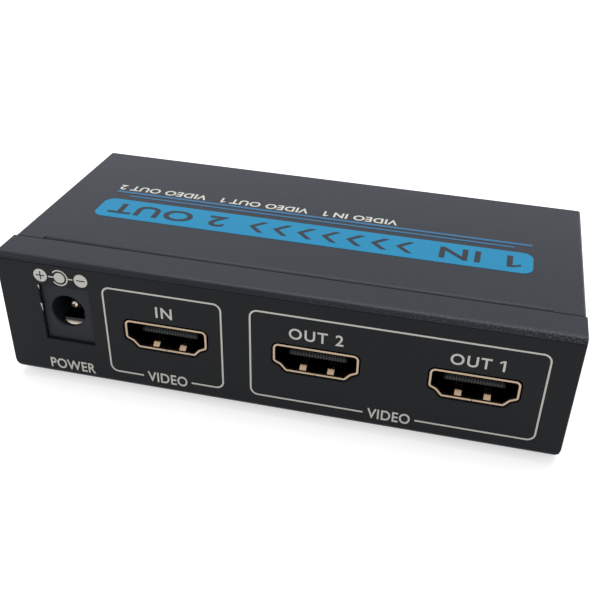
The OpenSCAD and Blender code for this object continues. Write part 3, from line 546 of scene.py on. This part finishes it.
@dataclass
class FlatDrawing:
    """A flat print drawn in millimetres in the XY plane, then raised to the thickness of its ink."""

    name: str
    ground: Ground
    finish: Finish
    ink_t: float = 0.04
    corner_steps: int = 10
    ring_steps: int = 48
    letter_steps: int = 6
    flag_w: float = 0.2
    flag_drop: float = 0.12
    flag_t: float = 0.11
    mesh: bmesh.types.BMesh = field(default_factory=bmesh.new)

    def take(self, other: bmesh.types.BMesh, move: Matrix) -> None:
        """Move another flat mesh into this drawing and free it.

        Args:
            other: The flat mesh.
            move: Its place in the drawing.
        """
        bmesh.ops.transform(other, matrix=move, verts=other.verts)
        carrier = bpy.data.meshes.new(self.name)
        other.to_mesh(carrier)
        other.free()
        self.mesh.from_mesh(carrier)
        bpy.data.meshes.remove(carrier)

    def sheet(self, left: float, bottom: float, right: float, top: float,
              corner_r: float) -> bmesh.types.BMesh:
        """Make a flat rectangle.

        Args:
            left: Its left edge.
            bottom: Its lower edge.
            right: Its right edge.
            top: Its upper edge.
            corner_r: Radius of its corners, or 0 for sharp ones.

        Returns:
            A mesh of one face.
        """
        part = bmesh.new()
        corners = ((left, bottom), (right, bottom), (right, top), (left, top))
        part.faces.new([part.verts.new((*corner, 0)) for corner in corners])
        if corner_r:
            bmesh.ops.bevel(part, geom=part.verts[:], offset=corner_r, segments=self.corner_steps,
                            profile=0.5, affect="VERTICES", material=-1)
        return part

    def bar(self, left: float, bottom: float, right: float, top: float, corner_r: float = 0.0) -> None:
        """Draw a filled rectangle.

        Args:
            left: Its left edge.
            bottom: Its lower edge.
            right: Its right edge.
            top: Its upper edge.
            corner_r: Radius of its corners, or 0 for sharp ones.
        """
        self.take(self.sheet(left, bottom, right, top, corner_r), Matrix.Identity(4))

    def sliver(self, left: float, bottom: float, right: float, top: float) -> None:
        """Draw a thin triangle that is widest at its top.

        Args:
            left: Its left corner.
            bottom: Its point.
            right: Its right edge.
            top: Its upper edge.
        """
        part = bmesh.new()
        part.faces.new([part.verts.new((x, y, 0)) for x, y in ((right, bottom), (right, top), (left, top))])
        self.take(part, Matrix.Identity(4))

    def frame_line(self, left: float, bottom: float, right: float, top: float, corner_r: float,
                   line_w: float, gap: tuple[float, float]) -> None:
        """Draw a line round a rectangle, open along a stretch of its lower side.

        Args:
            left: The line's outer left edge.
            bottom: Its outer lower edge.
            right: Its outer right edge.
            top: Its outer upper edge.
            corner_r: Radius of its outer corners.
            line_w: Width of the line.
            gap: Where the open stretch starts and ends.
        """
        part = self.sheet(left, bottom, right, top, corner_r)
        ring = bmesh.ops.inset_individual(part, faces=part.faces[:], thickness=line_w, use_even_offset=True)
        middle_faces = [f for f in part.faces if f not in ring["faces"]]
        bmesh.ops.delete(part, geom=middle_faces, context="FACES_ONLY")
        for x in gap:
            bmesh.ops.bisect_plane(part, geom=whole(part), plane_co=(x, 0, 0), plane_no=(1, 0, 0))
        middles = {face: face.calc_center_median() for face in part.faces}
        inside = [face for face, middle in middles.items()
                  if gap[0] < middle.x < gap[1] and middle.y < (bottom + top) / 2]
        bmesh.ops.delete(part, geom=inside, context="FACES")
        self.take(part, Matrix.Identity(4))

    def disc(self, centre: tuple[float, float], radius: float, strokes: list[tuple[float, float]]) -> None:
        """Draw a filled disc with strokes left open in it.

        Args:
            centre: Middle of the disc.
            radius: Its radius.
            strokes: Width and height of each open stroke about the middle.
        """
        part = bmesh.new()
        bmesh.ops.create_circle(part, cap_ends=True, segments=self.ring_steps, radius=radius)
        for axis in (0, 1):
            for size in {s[axis] for s in strokes}:
                for side in (-1, 1):
                    normal = Vector((1, 0, 0)) if axis == 0 else Vector((0, 1, 0))
                    edge = normal * side * size / 2
                    bmesh.ops.bisect_plane(part, geom=whole(part), plane_co=edge, plane_no=normal)
        middles = {face: face.calc_center_median() for face in part.faces}
        inside = [face for face, middle in middles.items()
                  if any(abs(middle.x) < w / 2 and abs(middle.y) < h / 2 for w, h in strokes)]
        bmesh.ops.delete(part, geom=inside, context="FACES")
        self.take(part, Matrix.Translation((*centre, 0)))

    def open_ring(self, centre: tuple[float, float], radius: float, line_w: float, open_deg: float) -> None:
        """Draw a ring that is open towards the left.

        Args:
            centre: Middle of the ring.
            radius: Its outer radius.
            line_w: Width of its line.
            open_deg: Angle that stays open.
        """
        part = bmesh.new()
        start = math.radians(180 + open_deg / 2)
        at = [Vector((math.cos(start) * r, math.sin(start) * r, 0)) for r in (radius - line_w, radius)]
        edge = part.edges.new([part.verts.new(p) for p in at])
        bmesh.ops.spin(part, geom=[*edge.verts, edge], cent=(0, 0, 0), axis=(0, 0, 1),
                       angle=math.radians(360 - open_deg), steps=self.ring_steps, use_merge=False)
        self.take(part, Matrix.Translation((*centre, 0)))

    def chevron(self, centre: tuple[float, float], size: float, line_w: float, turned: bool) -> None:
        """Draw an arrow head of two slanted strokes that points to +X.

        Args:
            centre: Middle of the arrow head.
            size: Its height.
            line_w: Width of its strokes along X.
            turned: Whether it points to -X instead.
        """
        part = bmesh.new()
        reach = size / 2
        points = [(-reach / 2, reach), (-reach / 2 + line_w, reach), (reach / 2 + line_w, 0), (reach / 2, 0)]
        for side in (1, -1):
            part.faces.new([part.verts.new((x, y * side, 0)) for x, y in points])
        bmesh.ops.remove_doubles(part, verts=part.verts[:], dist=MERGE_MM)
        turn = Matrix.Rotation(math.pi if turned else 0.0, 4, "Z")
        self.take(part, Matrix.Translation((*centre, 0)) @ turn)

    def letters(self, text: str, weight: float, tracking: float) -> bmesh.types.BMesh:
        """Make a flat mesh of letters at the font's own size.

        Args:
            text: The letters.
            weight: How far the strokes are thickened.
            tracking: Distance between letters against the natural one.

        Returns:
            The letters, with their left edge near the origin.
        """
        curve = bpy.data.curves.new(self.name, "FONT")
        curve.body = text
        curve.offset = weight
        curve.space_character = tracking
        curve.resolution_u = self.letter_steps
        line = bpy.data.objects.new(self.name, curve)
        bpy.context.scene.collection.objects.link(line)
        bpy.context.view_layer.update()
        graph = bpy.context.evaluated_depsgraph_get()
        flat = bpy.data.meshes.new_from_object(line.evaluated_get(graph))
        part = bmesh.new()
        part.from_mesh(flat)
        bpy.data.objects.remove(line)
        bpy.data.curves.remove(curve)
        bpy.data.meshes.remove(flat)
        return part

    def words(self, text: str, centre: tuple[float, float], cap_h: float, weight: float,
              stretch: float = 1.0, tracking: float = LETTER_TRACKING, turned: bool = False) -> None:
        """Draw a line of capitals about a centre.

        Args:
            text: The letters.
            centre: Middle of the line, at half the capitals' height.
            cap_h: Height of the capitals.
            weight: How far the strokes are thickened, as a share of the letter size.
            stretch: Width of the letters against their natural width.
            tracking: Distance between letters against the natural one.
            turned: Whether the line reads from the far side.
        """
        part = self.letters(text, weight, tracking)
        xs = [v.co.x for v in part.verts]
        ys = [v.co.y for v in part.verts]
        for i in [i for i, letter in enumerate(text) if letter == "1"]:
            stem = self.letters(text[:i + 1], weight, tracking)
            right, top = max(v.co.x for v in stem.verts), max(ys)
            near = min(v.co.x for v in stem.verts if v.co.x > right - self.flag_w)
            far = near - self.flag_w
            stem.free()
            corners = ((near, top), (far, top - self.flag_drop), (far, top - self.flag_drop - self.flag_t),
                       (near, top - self.flag_t))
            part.faces.new([part.verts.new((*corner, 0)) for corner in corners])
        grow = cap_h / (max(ys) - min(ys))
        to_middle = Matrix.Translation((-(min(xs) + max(xs)) / 2, -(min(ys) + max(ys)) / 2, 0))
        size = Matrix.Diagonal((grow * stretch, grow, 1, 1))
        turn = Matrix.Rotation(math.pi if turned else 0.0, 4, "Z")
        self.take(part, Matrix.Translation((*centre, 0)) @ turn @ size @ to_middle)

    def finish_piece(self, lift: float = 0.0) -> None:
        """Raise the drawing to its thickness, place it on its ground and let it ride on the case.

        Args:
            lift: Height of the drawing's underside over its ground.
        """
        part = self.mesh
        bmesh.ops.remove_doubles(part, verts=part.verts[:], dist=MERGE_MM)
        raised = bmesh.ops.extrude_face_region(part, geom=part.faces[:], use_keep_orig=True)["geom"]
        bmesh.ops.translate(part, verts=only_verts(raised), vec=(0, 0, self.ink_t))
        bmesh.ops.recalc_face_normals(part, faces=part.faces[:])
        for face in part.faces:
            face.smooth = False
        place = self.ground.place() @ Matrix.Translation((0, 0, lift))
        bmesh.ops.transform(part, matrix=place, verts=part.verts)
        add_piece(self.name, part, self.finish)


@dataclass
class FoldedCase:
    """The tray, the cover, the film on the connector panel, the cover's screws and the feet."""

    def dress(self) -> None:
        """Finish the case's solids."""
        dress("bottom_tray", TRAY_COAT)
        dress("top_cover", POWDER_COAT)
        dress("connector_panel_film", PANEL_FILM)
        dress("cover_screws", BLACK_OXIDE)
        dress("rubber_feet", RUBBER)


@dataclass
class VideoPort:
    """One port: its shell, its insulator with the tongue, its contacts and its spring fingers."""

    name: str
    mouth_h: float = 5.35
    tongue_z: float = 1.95
    tongue_t: float = 1.2
    tongue_chamfer: float = 0.3
    ends: int = 19
    end_pitch: float = 0.5
    end_w: float = 0.24
    end_t: float = 0.03

    def build(self) -> None:
        """Lay the contacts' ends over the tongue's tip, a row of small strips on its face and chamfer."""
        tip_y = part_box(f"{self.name}_port_insulator")[0].y / MM - self.end_t
        bottom = self.mouth_z()[0] + self.tongue_z
        left = self.middle() - ((self.ends - 1) * self.end_pitch + self.end_w) / 2
        face_top = self.tongue_t - self.tongue_chamfer
        line = ((0, self.tongue_chamfer), (0, face_top), (self.tongue_chamfer, self.tongue_t))
        part = bmesh.new()
        points = [part.verts.new((left, tip_y + y, bottom + z)) for y, z in line]
        edges = [part.edges.new(pair) for pair in zip(points, points[1:])]
        wide = bmesh.ops.extrude_edge_only(part, edges=edges)["geom"]
        bmesh.ops.translate(part, verts=only_verts(wide), vec=(self.end_w, 0, 0))
        deep = bmesh.ops.extrude_face_region(part, geom=part.faces[:], use_keep_orig=True)["geom"]
        bmesh.ops.translate(part, verts=only_verts(deep), vec=(0, self.end_t, 0))
        bmesh.ops.recalc_face_normals(part, faces=part.faces[:])
        bmesh.ops.spin(part, geom=whole(part), axis=(0, 0, 1), angle=0, dvec=(self.end_pitch, 0, 0),
                       steps=self.ends - 1, use_duplicate=True)
        bmesh.ops.scale(part, vec=(MM, MM, MM), verts=part.verts)
        add_piece(f"{self.name}_port_contact_ends", part, SHEARED_ENDS)

    def dress(self) -> None:
        """Finish the port's solids."""
        dress(f"{self.name}_port_shell", SHELL_GOLD)
        dress(f"{self.name}_port_insulator", BLACK_TONGUE)
        dress(f"{self.name}_port_contacts", CONTACT_GOLD)
        for side in ("floor", "roof"):
            dress(f"{self.name}_port_{side}_springs", FINGER_GOLD)

    def middle(self) -> float:
        """Place of the port's middle along the panel, in millimetres."""
        low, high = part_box(f"{self.name}_port_shell")
        return (low.x + high.x) / 2 / MM

    def mouth_z(self) -> tuple[float, float]:
        """Heights of the mouth's lower and upper edge, in millimetres."""
        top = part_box(f"{self.name}_port_shell")[1].z / MM
        return top - self.mouth_h, top


@dataclass
class PowerJack:
    """The jack: its housing, its centre pin with painted shade for a small hollow, its leaf spring and its
    terminals.
    """

    pin_r: float = 1.0
    hollow_r: float = 0.34
    hollow_t: float = 0.02
    turns: int = 24
    rings: int = 48

    def build(self) -> None:
        """Paint the shade of the pin's hollow as a thin dark cap on its round end."""
        low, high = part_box("power_jack_pin")
        centre = Vector(((low.x + high.x) / 2, low.y + self.pin_r * MM, (low.z + high.z) / 2))
        cap_r = self.pin_r + self.hollow_t
        part = bmesh.new()
        bmesh.ops.create_uvsphere(part, u_segments=self.turns, v_segments=self.rings, radius=cap_r,
                                  matrix=Matrix.Rotation(math.pi / 2, 4, "X"))
        rim = Vector((0, -math.sqrt(cap_r ** 2 - self.hollow_r ** 2), 0))
        bmesh.ops.bisect_plane(part, geom=whole(part), plane_co=rim, plane_no=(0, 1, 0), clear_outer=True)
        bmesh.ops.holes_fill(part, edges=part.edges[:], sides=0)
        bmesh.ops.recalc_face_normals(part, faces=part.faces[:])
        bmesh.ops.transform(part, matrix=Matrix.Translation(centre) @ Matrix.Scale(MM, 4), verts=part.verts)
        add_piece("power_pin_hollow_painted_shade", part, PIN_HOLLOW_SHADE)

    def dress(self) -> None:
        """Finish the jack's solids."""
        dress("power_jack_housing", BLACK_NYLON)
        dress("power_jack_leaf_spring", NICKEL)
        dress("power_jack_pin", PIN_NICKEL)
        for part in ("pin_terminal", "leaf_terminal", "switch_terminal"):
            dress(f"power_jack_{part}", TIN)


@dataclass
class BoardAssembly:
    """The circuit board with its fastening and its parts."""

    def dress(self) -> None:
        """Finish the board's solids."""
        dress("circuit_board", BOARD)
        for node in ("board_standoffs", "board_screws", "splitter_chip_leads", "memory_chip_leads",
                     "voltage_regulator_leads", "led_leads"):
            dress(node, TIN)
        for node in ("splitter_chip", "memory_chip", "voltage_regulator", "capacitor_bases",
                     "protection_arrays"):
            dress(node, BLACK_NYLON)
        for node in ("crystal_can", "capacitor_cans"):
            dress(node, ALUMINIUM)
        dress("power_inductor", FERRITE)
        dress("chip_capacitors", CERAMIC)
        dress("chip_resistors", GLAZED_CHIP)
        dress("power_led", RED_EPOXY)
        dress("signal_leds", GREEN_EPOXY)


@dataclass
class PanelPrint:
    """White marks on the connector panel: frames round the ports, plain words and a polarity sign."""

    line_w: float = 0.31
    corner_r: float = 1.5
    frame_rise: float = 6.2
    input_reach: tuple[float, float] = (11.1, 10.4)
    output_reach: tuple[float, float] = (11.6, 11.4)
    input_gap: tuple[float, float] = (-24.4, -15.3)
    output_gap: tuple[float, float] = (15.9, 25.0)
    cap_h: float = 2.15
    weight: float = 0.014
    narrow: float = 0.84
    spaced: float = 1.15
    label_rise: float = 2.6
    sign_shift: float = -0.35
    sign_rise: float = 2.05
    plus_reach: float = 3.55
    minus_reach: float = 3.92
    sign_r: float = 1.24
    sign_stroke: float = 1.6
    sign_line: float = 0.24
    core_r: float = 0.98
    ring_r: float = 1.55
    ring_open: float = 75.0
    touch: float = 0.02
    power_drop: float = 5.4
    # Width and heights of the painted glint slivers on the film's cut edge.
    glint_w: float = 0.3
    glint_z: tuple[tuple[float, float], ...] = ((19.7, 20.5), (15.1, 16.8))

    def build(self, source: VideoPort, left_out: VideoPort, right_out: VideoPort) -> None:
        """Draw the panel's marks round the ports and the jack.

        Args:
            source: The input port.
            left_out: The output port beside it.
            right_out: The outer output port.
        """
        low, high = source.mouth_z()
        bottom, top = low - self.frame_rise, high + self.frame_rise
        input_edges = (source.middle() - self.input_reach[0], source.middle() + self.input_reach[1])
        output_edges = (left_out.middle() - self.output_reach[0], right_out.middle() + self.output_reach[1])
        frames = {"input_frame_print": (*input_edges, self.input_gap),
                  "output_frame_print": (*output_edges, self.output_gap)}
        for name, (left, right, gap) in frames.items():
            drawing = FlatDrawing(name, Ground.FILM, WHITE_INK)
            drawing.frame_line(left, bottom, right, top, self.corner_r, self.line_w, gap)
            centre = (sum(gap) / 2, bottom + self.line_w / 2)
            drawing.words("VIDEO", centre, self.cap_h, self.weight, self.narrow)
            drawing.finish_piece()
        labels = {"input_label_print": (source, "IN"), "output_2_label_print": (left_out, "OUT 2"),
                  "output_1_label_print": (right_out, "OUT 1")}
        for name, (port, text) in labels.items():
            drawing = FlatDrawing(name, Ground.FILM, WHITE_INK)
            centre = (port.middle(), high + self.label_rise)
            drawing.words(text, centre, self.cap_h, self.weight, tracking=self.spaced)
            drawing.finish_piece()
        self.build_jack_signs()

    def build_jack_signs(self) -> None:
        """Draw the polarity sign over the jack, a word under it, and a painted glint on the film's cut edge
        beside it.
        """
        low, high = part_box("power_jack_housing")
        jack_x, top, bottom = (low.x + high.x) / 2 / MM, high.z / MM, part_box("circuit_board")[1].z / MM
        x, y = jack_x + self.sign_shift, top + self.sign_rise
        drawing = FlatDrawing("polarity_print", Ground.FILM, WHITE_INK)
        stroke = (self.sign_stroke, self.sign_line)
        drawing.disc((x - self.plus_reach, y), self.sign_r, [stroke, stroke[::-1]])
        drawing.disc((x + self.minus_reach, y), self.sign_r, [stroke])
        drawing.disc((x, y), self.core_r, [])
        drawing.open_ring((x, y), self.ring_r, self.sign_line, self.ring_open)
        half = self.sign_line / 2
        clear = self.sign_r + self.sign_line
        drawing.bar(x - self.plus_reach + clear, y - half, x - self.core_r + self.touch, y + half)
        drawing.bar(x + self.ring_r - self.touch, y - half, x + self.minus_reach - clear, y + half)
        drawing.finish_piece()
        drawing = FlatDrawing("power_print", Ground.FILM, WHITE_INK)
        drawing.words("POWER", (x, bottom - self.power_drop), self.cap_h, self.weight, self.narrow)
        drawing.finish_piece()
        # Painted glint: thin white slivers stand in for light caught on the film's cut edge.
        drawing = FlatDrawing("film_edge_painted_glint", Ground.FILM, WHITE_INK)
        for start, end in self.glint_z:
            drawing.sliver(low.x / MM - self.glint_w, start, low.x / MM, end)
        drawing.finish_piece()


@dataclass(frozen=True)
class ThinLine:
    """A thin printed line along the lid."""

    left: float
    right: float
    y: float
    width: float


@dataclass
class LidPrint:
    """Marks on the lid that read from the indicator side: a blue bar, thin lines and white words."""

    bar_x: tuple[float, float] = (-40.7, 41.1)
    bar_y: tuple[float, float] = (-5.25, 2.45)
    bar_r: float = 2.0
    thin_lines: tuple[ThinLine, ...] = (
        ThinLine(left=-37.1, right=37.6, y=4.25, width=0.5),
        ThinLine(left=-40.4, right=40.8, y=5.75, width=0.7),
    )
    thin_corner_share: float = 1 / 3
    cap_h: float = 4.2
    weight: float = 0.02
    wide: float = 1.3
    spaced: float = 1.1
    word_x: tuple[float, float] = (31.0, -27.0)
    arrows: int = 7
    arrow_x: float = 4.9
    arrow_pitch: float = 4.6
    arrow_line: float = 1.1
    over_bar: float = 0.03
    small_cap_h: float = 2.1
    small_weight: float = 0.022
    small_centre: tuple[float, float] = (-12.5, 7.75)

    def build(self) -> None:
        """Draw the lid's marks."""
        drawing = FlatDrawing("blue_bar_print", Ground.LID, BLUE_INK)
        drawing.bar(self.bar_x[0], self.bar_y[0], self.bar_x[1], self.bar_y[1], self.bar_r)
        drawing.finish_piece()
        drawing = FlatDrawing("thin_lines_print", Ground.LID, LINE_INK)
        for line in self.thin_lines:
            half = line.width / 2
            corner_r = line.width * self.thin_corner_share
            drawing.bar(line.left, line.y - half, line.right, line.y + half, corner_r)
        drawing.finish_piece()
        y = sum(self.bar_y) / 2
        drawing = FlatDrawing("bar_words_print", Ground.LID, BLACK_INK)
        for text, x in zip(("1 IN", "2 OUT"), self.word_x):
            drawing.words(text, (x, y), self.cap_h, self.weight, self.wide, self.spaced, turned=True)
        for i in range(self.arrows):
            x = self.arrow_x + (i - (self.arrows - 1) / 2) * self.arrow_pitch
            drawing.chevron((x, y), self.cap_h, self.arrow_line, turned=True)
        drawing.finish_piece(self.over_bar)
        drawing = FlatDrawing("white_words_print", Ground.LID, WHITE_INK)
        drawing.words("VIDEO IN 1   VIDEO OUT 1   VIDEO OUT 2", self.small_centre, self.small_cap_h,
                      self.small_weight, turned=True)
        drawing.finish_piece()


@dataclass(frozen=True)
class Viewpoint:
    """Where the camera stands and how it looks: place, turns and the image's own optics in pixels."""

    place: tuple[float, float, float] = (31.45, -137.91, 97.22)
    heading: float = 10.993
    tilt: float = 55.643
    roll: float = 2.633
    focal_px: float = 847.8
    centre_px: tuple[float, float] = (328.1, 343.4)
    image_px: float = 600.0
    sensor: float = 36.0
    nearest: float = 10.0

    def build(self) -> None:
        """Make the camera and hand it to the scene."""
        lens = bpy.data.cameras.new("camera")
        lens.sensor_fit = "HORIZONTAL"
        lens.sensor_width = self.sensor
        lens.lens = self.focal_px / self.image_px * self.sensor
        lens.shift_x = (self.image_px / 2 - self.centre_px[0]) / self.image_px
        lens.shift_y = (self.centre_px[1] - self.image_px / 2) / self.image_px
        lens.clip_start = self.nearest * MM
        camera = bpy.data.objects.new("camera", lens)
        turns = [Matrix.Rotation(math.radians(a), 4, axis)
                 for a, axis in ((self.heading, "Z"), (self.tilt, "X"), (self.roll, "Z"))]
        camera.matrix_world = Matrix.Translation(Vector(self.place) * MM) @ turns[0] @ turns[1] @ turns[2]
        bpy.context.scene.collection.objects.link(camera)
        bpy.context.scene.camera = camera


@dataclass(frozen=True)
class Lamp:
    """A square soft lamp: its place and side in metres, and its power in watts."""

    name: str
    place: tuple[float, float, float]
    side: float
    power: float


@dataclass(frozen=True)
class Studio:
    """A white floor, in metres, that keeps the shadow, with a white surround and soft lamps."""

    floor_half: float = 4.0
    floor_colour: str = "#e6e6e6"
    floor_lift: float = 0.56
    sky_colour: str = "#f0f4ff"
    fibre_mm: float = 2.0
    fibre_depth_mm: float = 0.01
    fill: float = 0.55
    lamps: tuple[Lamp, ...] = (
        Lamp("top_lamp", place=(0.0, 0.35, 0.9), side=0.9, power=7.0),
        Lamp("left_lamp", place=(-0.8, -0.5, 0.5), side=0.5, power=2.0),
    )

    def seen(self, tree: bpy.types.NodeTree) -> bpy.types.NodeSocket:
        """Find whether a ray comes from the camera, a reflection or clear material.

        Args:
            tree: Node tree of the floor or the surround.

        Returns:
            1 for such rays and 0 for others.
        """
        path = add_node(tree, "ShaderNodeLightPath").outputs
        direct = add_node(tree, "ShaderNodeMath", {0: path["Is Camera Ray"], 1: path["Is Glossy Ray"]},
                          operation="MAXIMUM").outputs[0]
        return add_node(tree, "ShaderNodeMath", {0: direct, 1: path["Is Transmission Ray"]},
                        operation="MAXIMUM").outputs[0]

    def build_floor(self) -> None:
        """Lay the floor: white paper, lifted to white where it is looked at, and clear from below."""
        material, tree = new_material("white_paper_floor")
        place = add_node(tree, "ShaderNodeTexCoord").outputs["Object"]
        fibre = add_node(tree, "ShaderNodeTexNoise", {"Vector": place, "Scale": per_metre(self.fibre_mm)})
        inputs = {"Height": fibre.outputs["Fac"], "Distance": self.fibre_depth_mm * MM}
        relief = add_node(tree, "ShaderNodeBump", inputs).outputs["Normal"]
        inputs = {"Color": hex_linear(self.floor_colour), "Normal": relief}
        paper = add_node(tree, "ShaderNodeBsdfDiffuse", inputs)
        inputs = {0: self.seen(tree), 1: self.floor_lift}
        strength = add_node(tree, "ShaderNodeMath", inputs, operation="MULTIPLY")
        glow = add_node(tree, "ShaderNodeEmission", {"Strength": strength.outputs[0]})
        both = add_node(tree, "ShaderNodeAddShader", {0: paper.outputs[0], 1: glow.outputs[0]})
        below = add_node(tree, "ShaderNodeNewGeometry").outputs["Backfacing"]
        clear = add_node(tree, "ShaderNodeBsdfTransparent")
        side = add_node(tree, "ShaderNodeMixShader", {0: below, 1: both.outputs[0], 2: clear.outputs[0]})
        add_node(tree, "ShaderNodeOutputMaterial", {"Surface": side.outputs[0]})
        part = bmesh.new()
        bmesh.ops.create_grid(part, x_segments=2, y_segments=2, size=self.floor_half)
        mesh = bpy.data.meshes.new("floor")
        part.to_mesh(mesh)
        part.free()
        mesh.materials.append(material)
        floor = bpy.data.objects.new("floor", mesh)
        bpy.context.scene.collection.objects.link(floor)

    def build_surround(self) -> None:
        """Surround the scene with white where it is looked at, cool white in gloss and plain fill light."""
        world = bpy.data.worlds.new("studio")
        world.use_nodes = True
        tree = world.node_tree
        tree.nodes.clear()
        fill = add_node(tree, "ShaderNodeBackground", {"Color": hex_linear(WHITE), "Strength": self.fill})
        shine = add_node(tree, "ShaderNodeLightPath").outputs["Is Glossy Ray"]
        inputs = {0: shine, MIX_A: hex_linear(WHITE), MIX_B: hex_linear(self.sky_colour)}
        sky = add_node(tree, "ShaderNodeMix", inputs, data_type="RGBA").outputs[MIX_RESULT]
        white = add_node(tree, "ShaderNodeBackground", {"Color": sky, "Strength": 1.0})
        inputs = {0: self.seen(tree), 1: fill.outputs[0], 2: white.outputs[0]}
        both = add_node(tree, "ShaderNodeMixShader", inputs)
        add_node(tree, "ShaderNodeOutputWorld", {"Surface": both.outputs[0]})
        bpy.context.scene.world = world

    def build_lamps(self) -> None:
        """Hang the soft lamps, each turned to the object."""
        for lamp in self.lamps:
            light = bpy.data.lights.new(lamp.name, "AREA")
            light.size = lamp.side
            light.energy = lamp.power
            hung = bpy.data.objects.new(lamp.name, light)
            hung.location = lamp.place
            hung.rotation_euler = (-Vector(lamp.place)).to_track_quat("-Z", "Y").to_euler()
            bpy.context.scene.collection.objects.link(hung)

    def build(self) -> None:
        """Build the floor, the surround and the lamps."""
        self.build_floor()
        self.build_surround()
        self.build_lamps()
        bpy.context.scene.view_settings.view_transform = "Standard"


def main() -> None:
    """Build the looks in order."""
    logging.basicConfig(level=logging.INFO, format="%(name)s %(message)s")
    Viewpoint().build()
    Studio().build()
    FoldedCase().dress()
    ports = [VideoPort(name) for name in ("input", "output_2", "output_1")]
    jack = PowerJack()
    for part in (*ports, jack):
        part.dress()
        part.build()
    BoardAssembly().dress()
    PanelPrint().build(*ports)
    LidPrint().build()


if __name__ == "__main__":
    main()
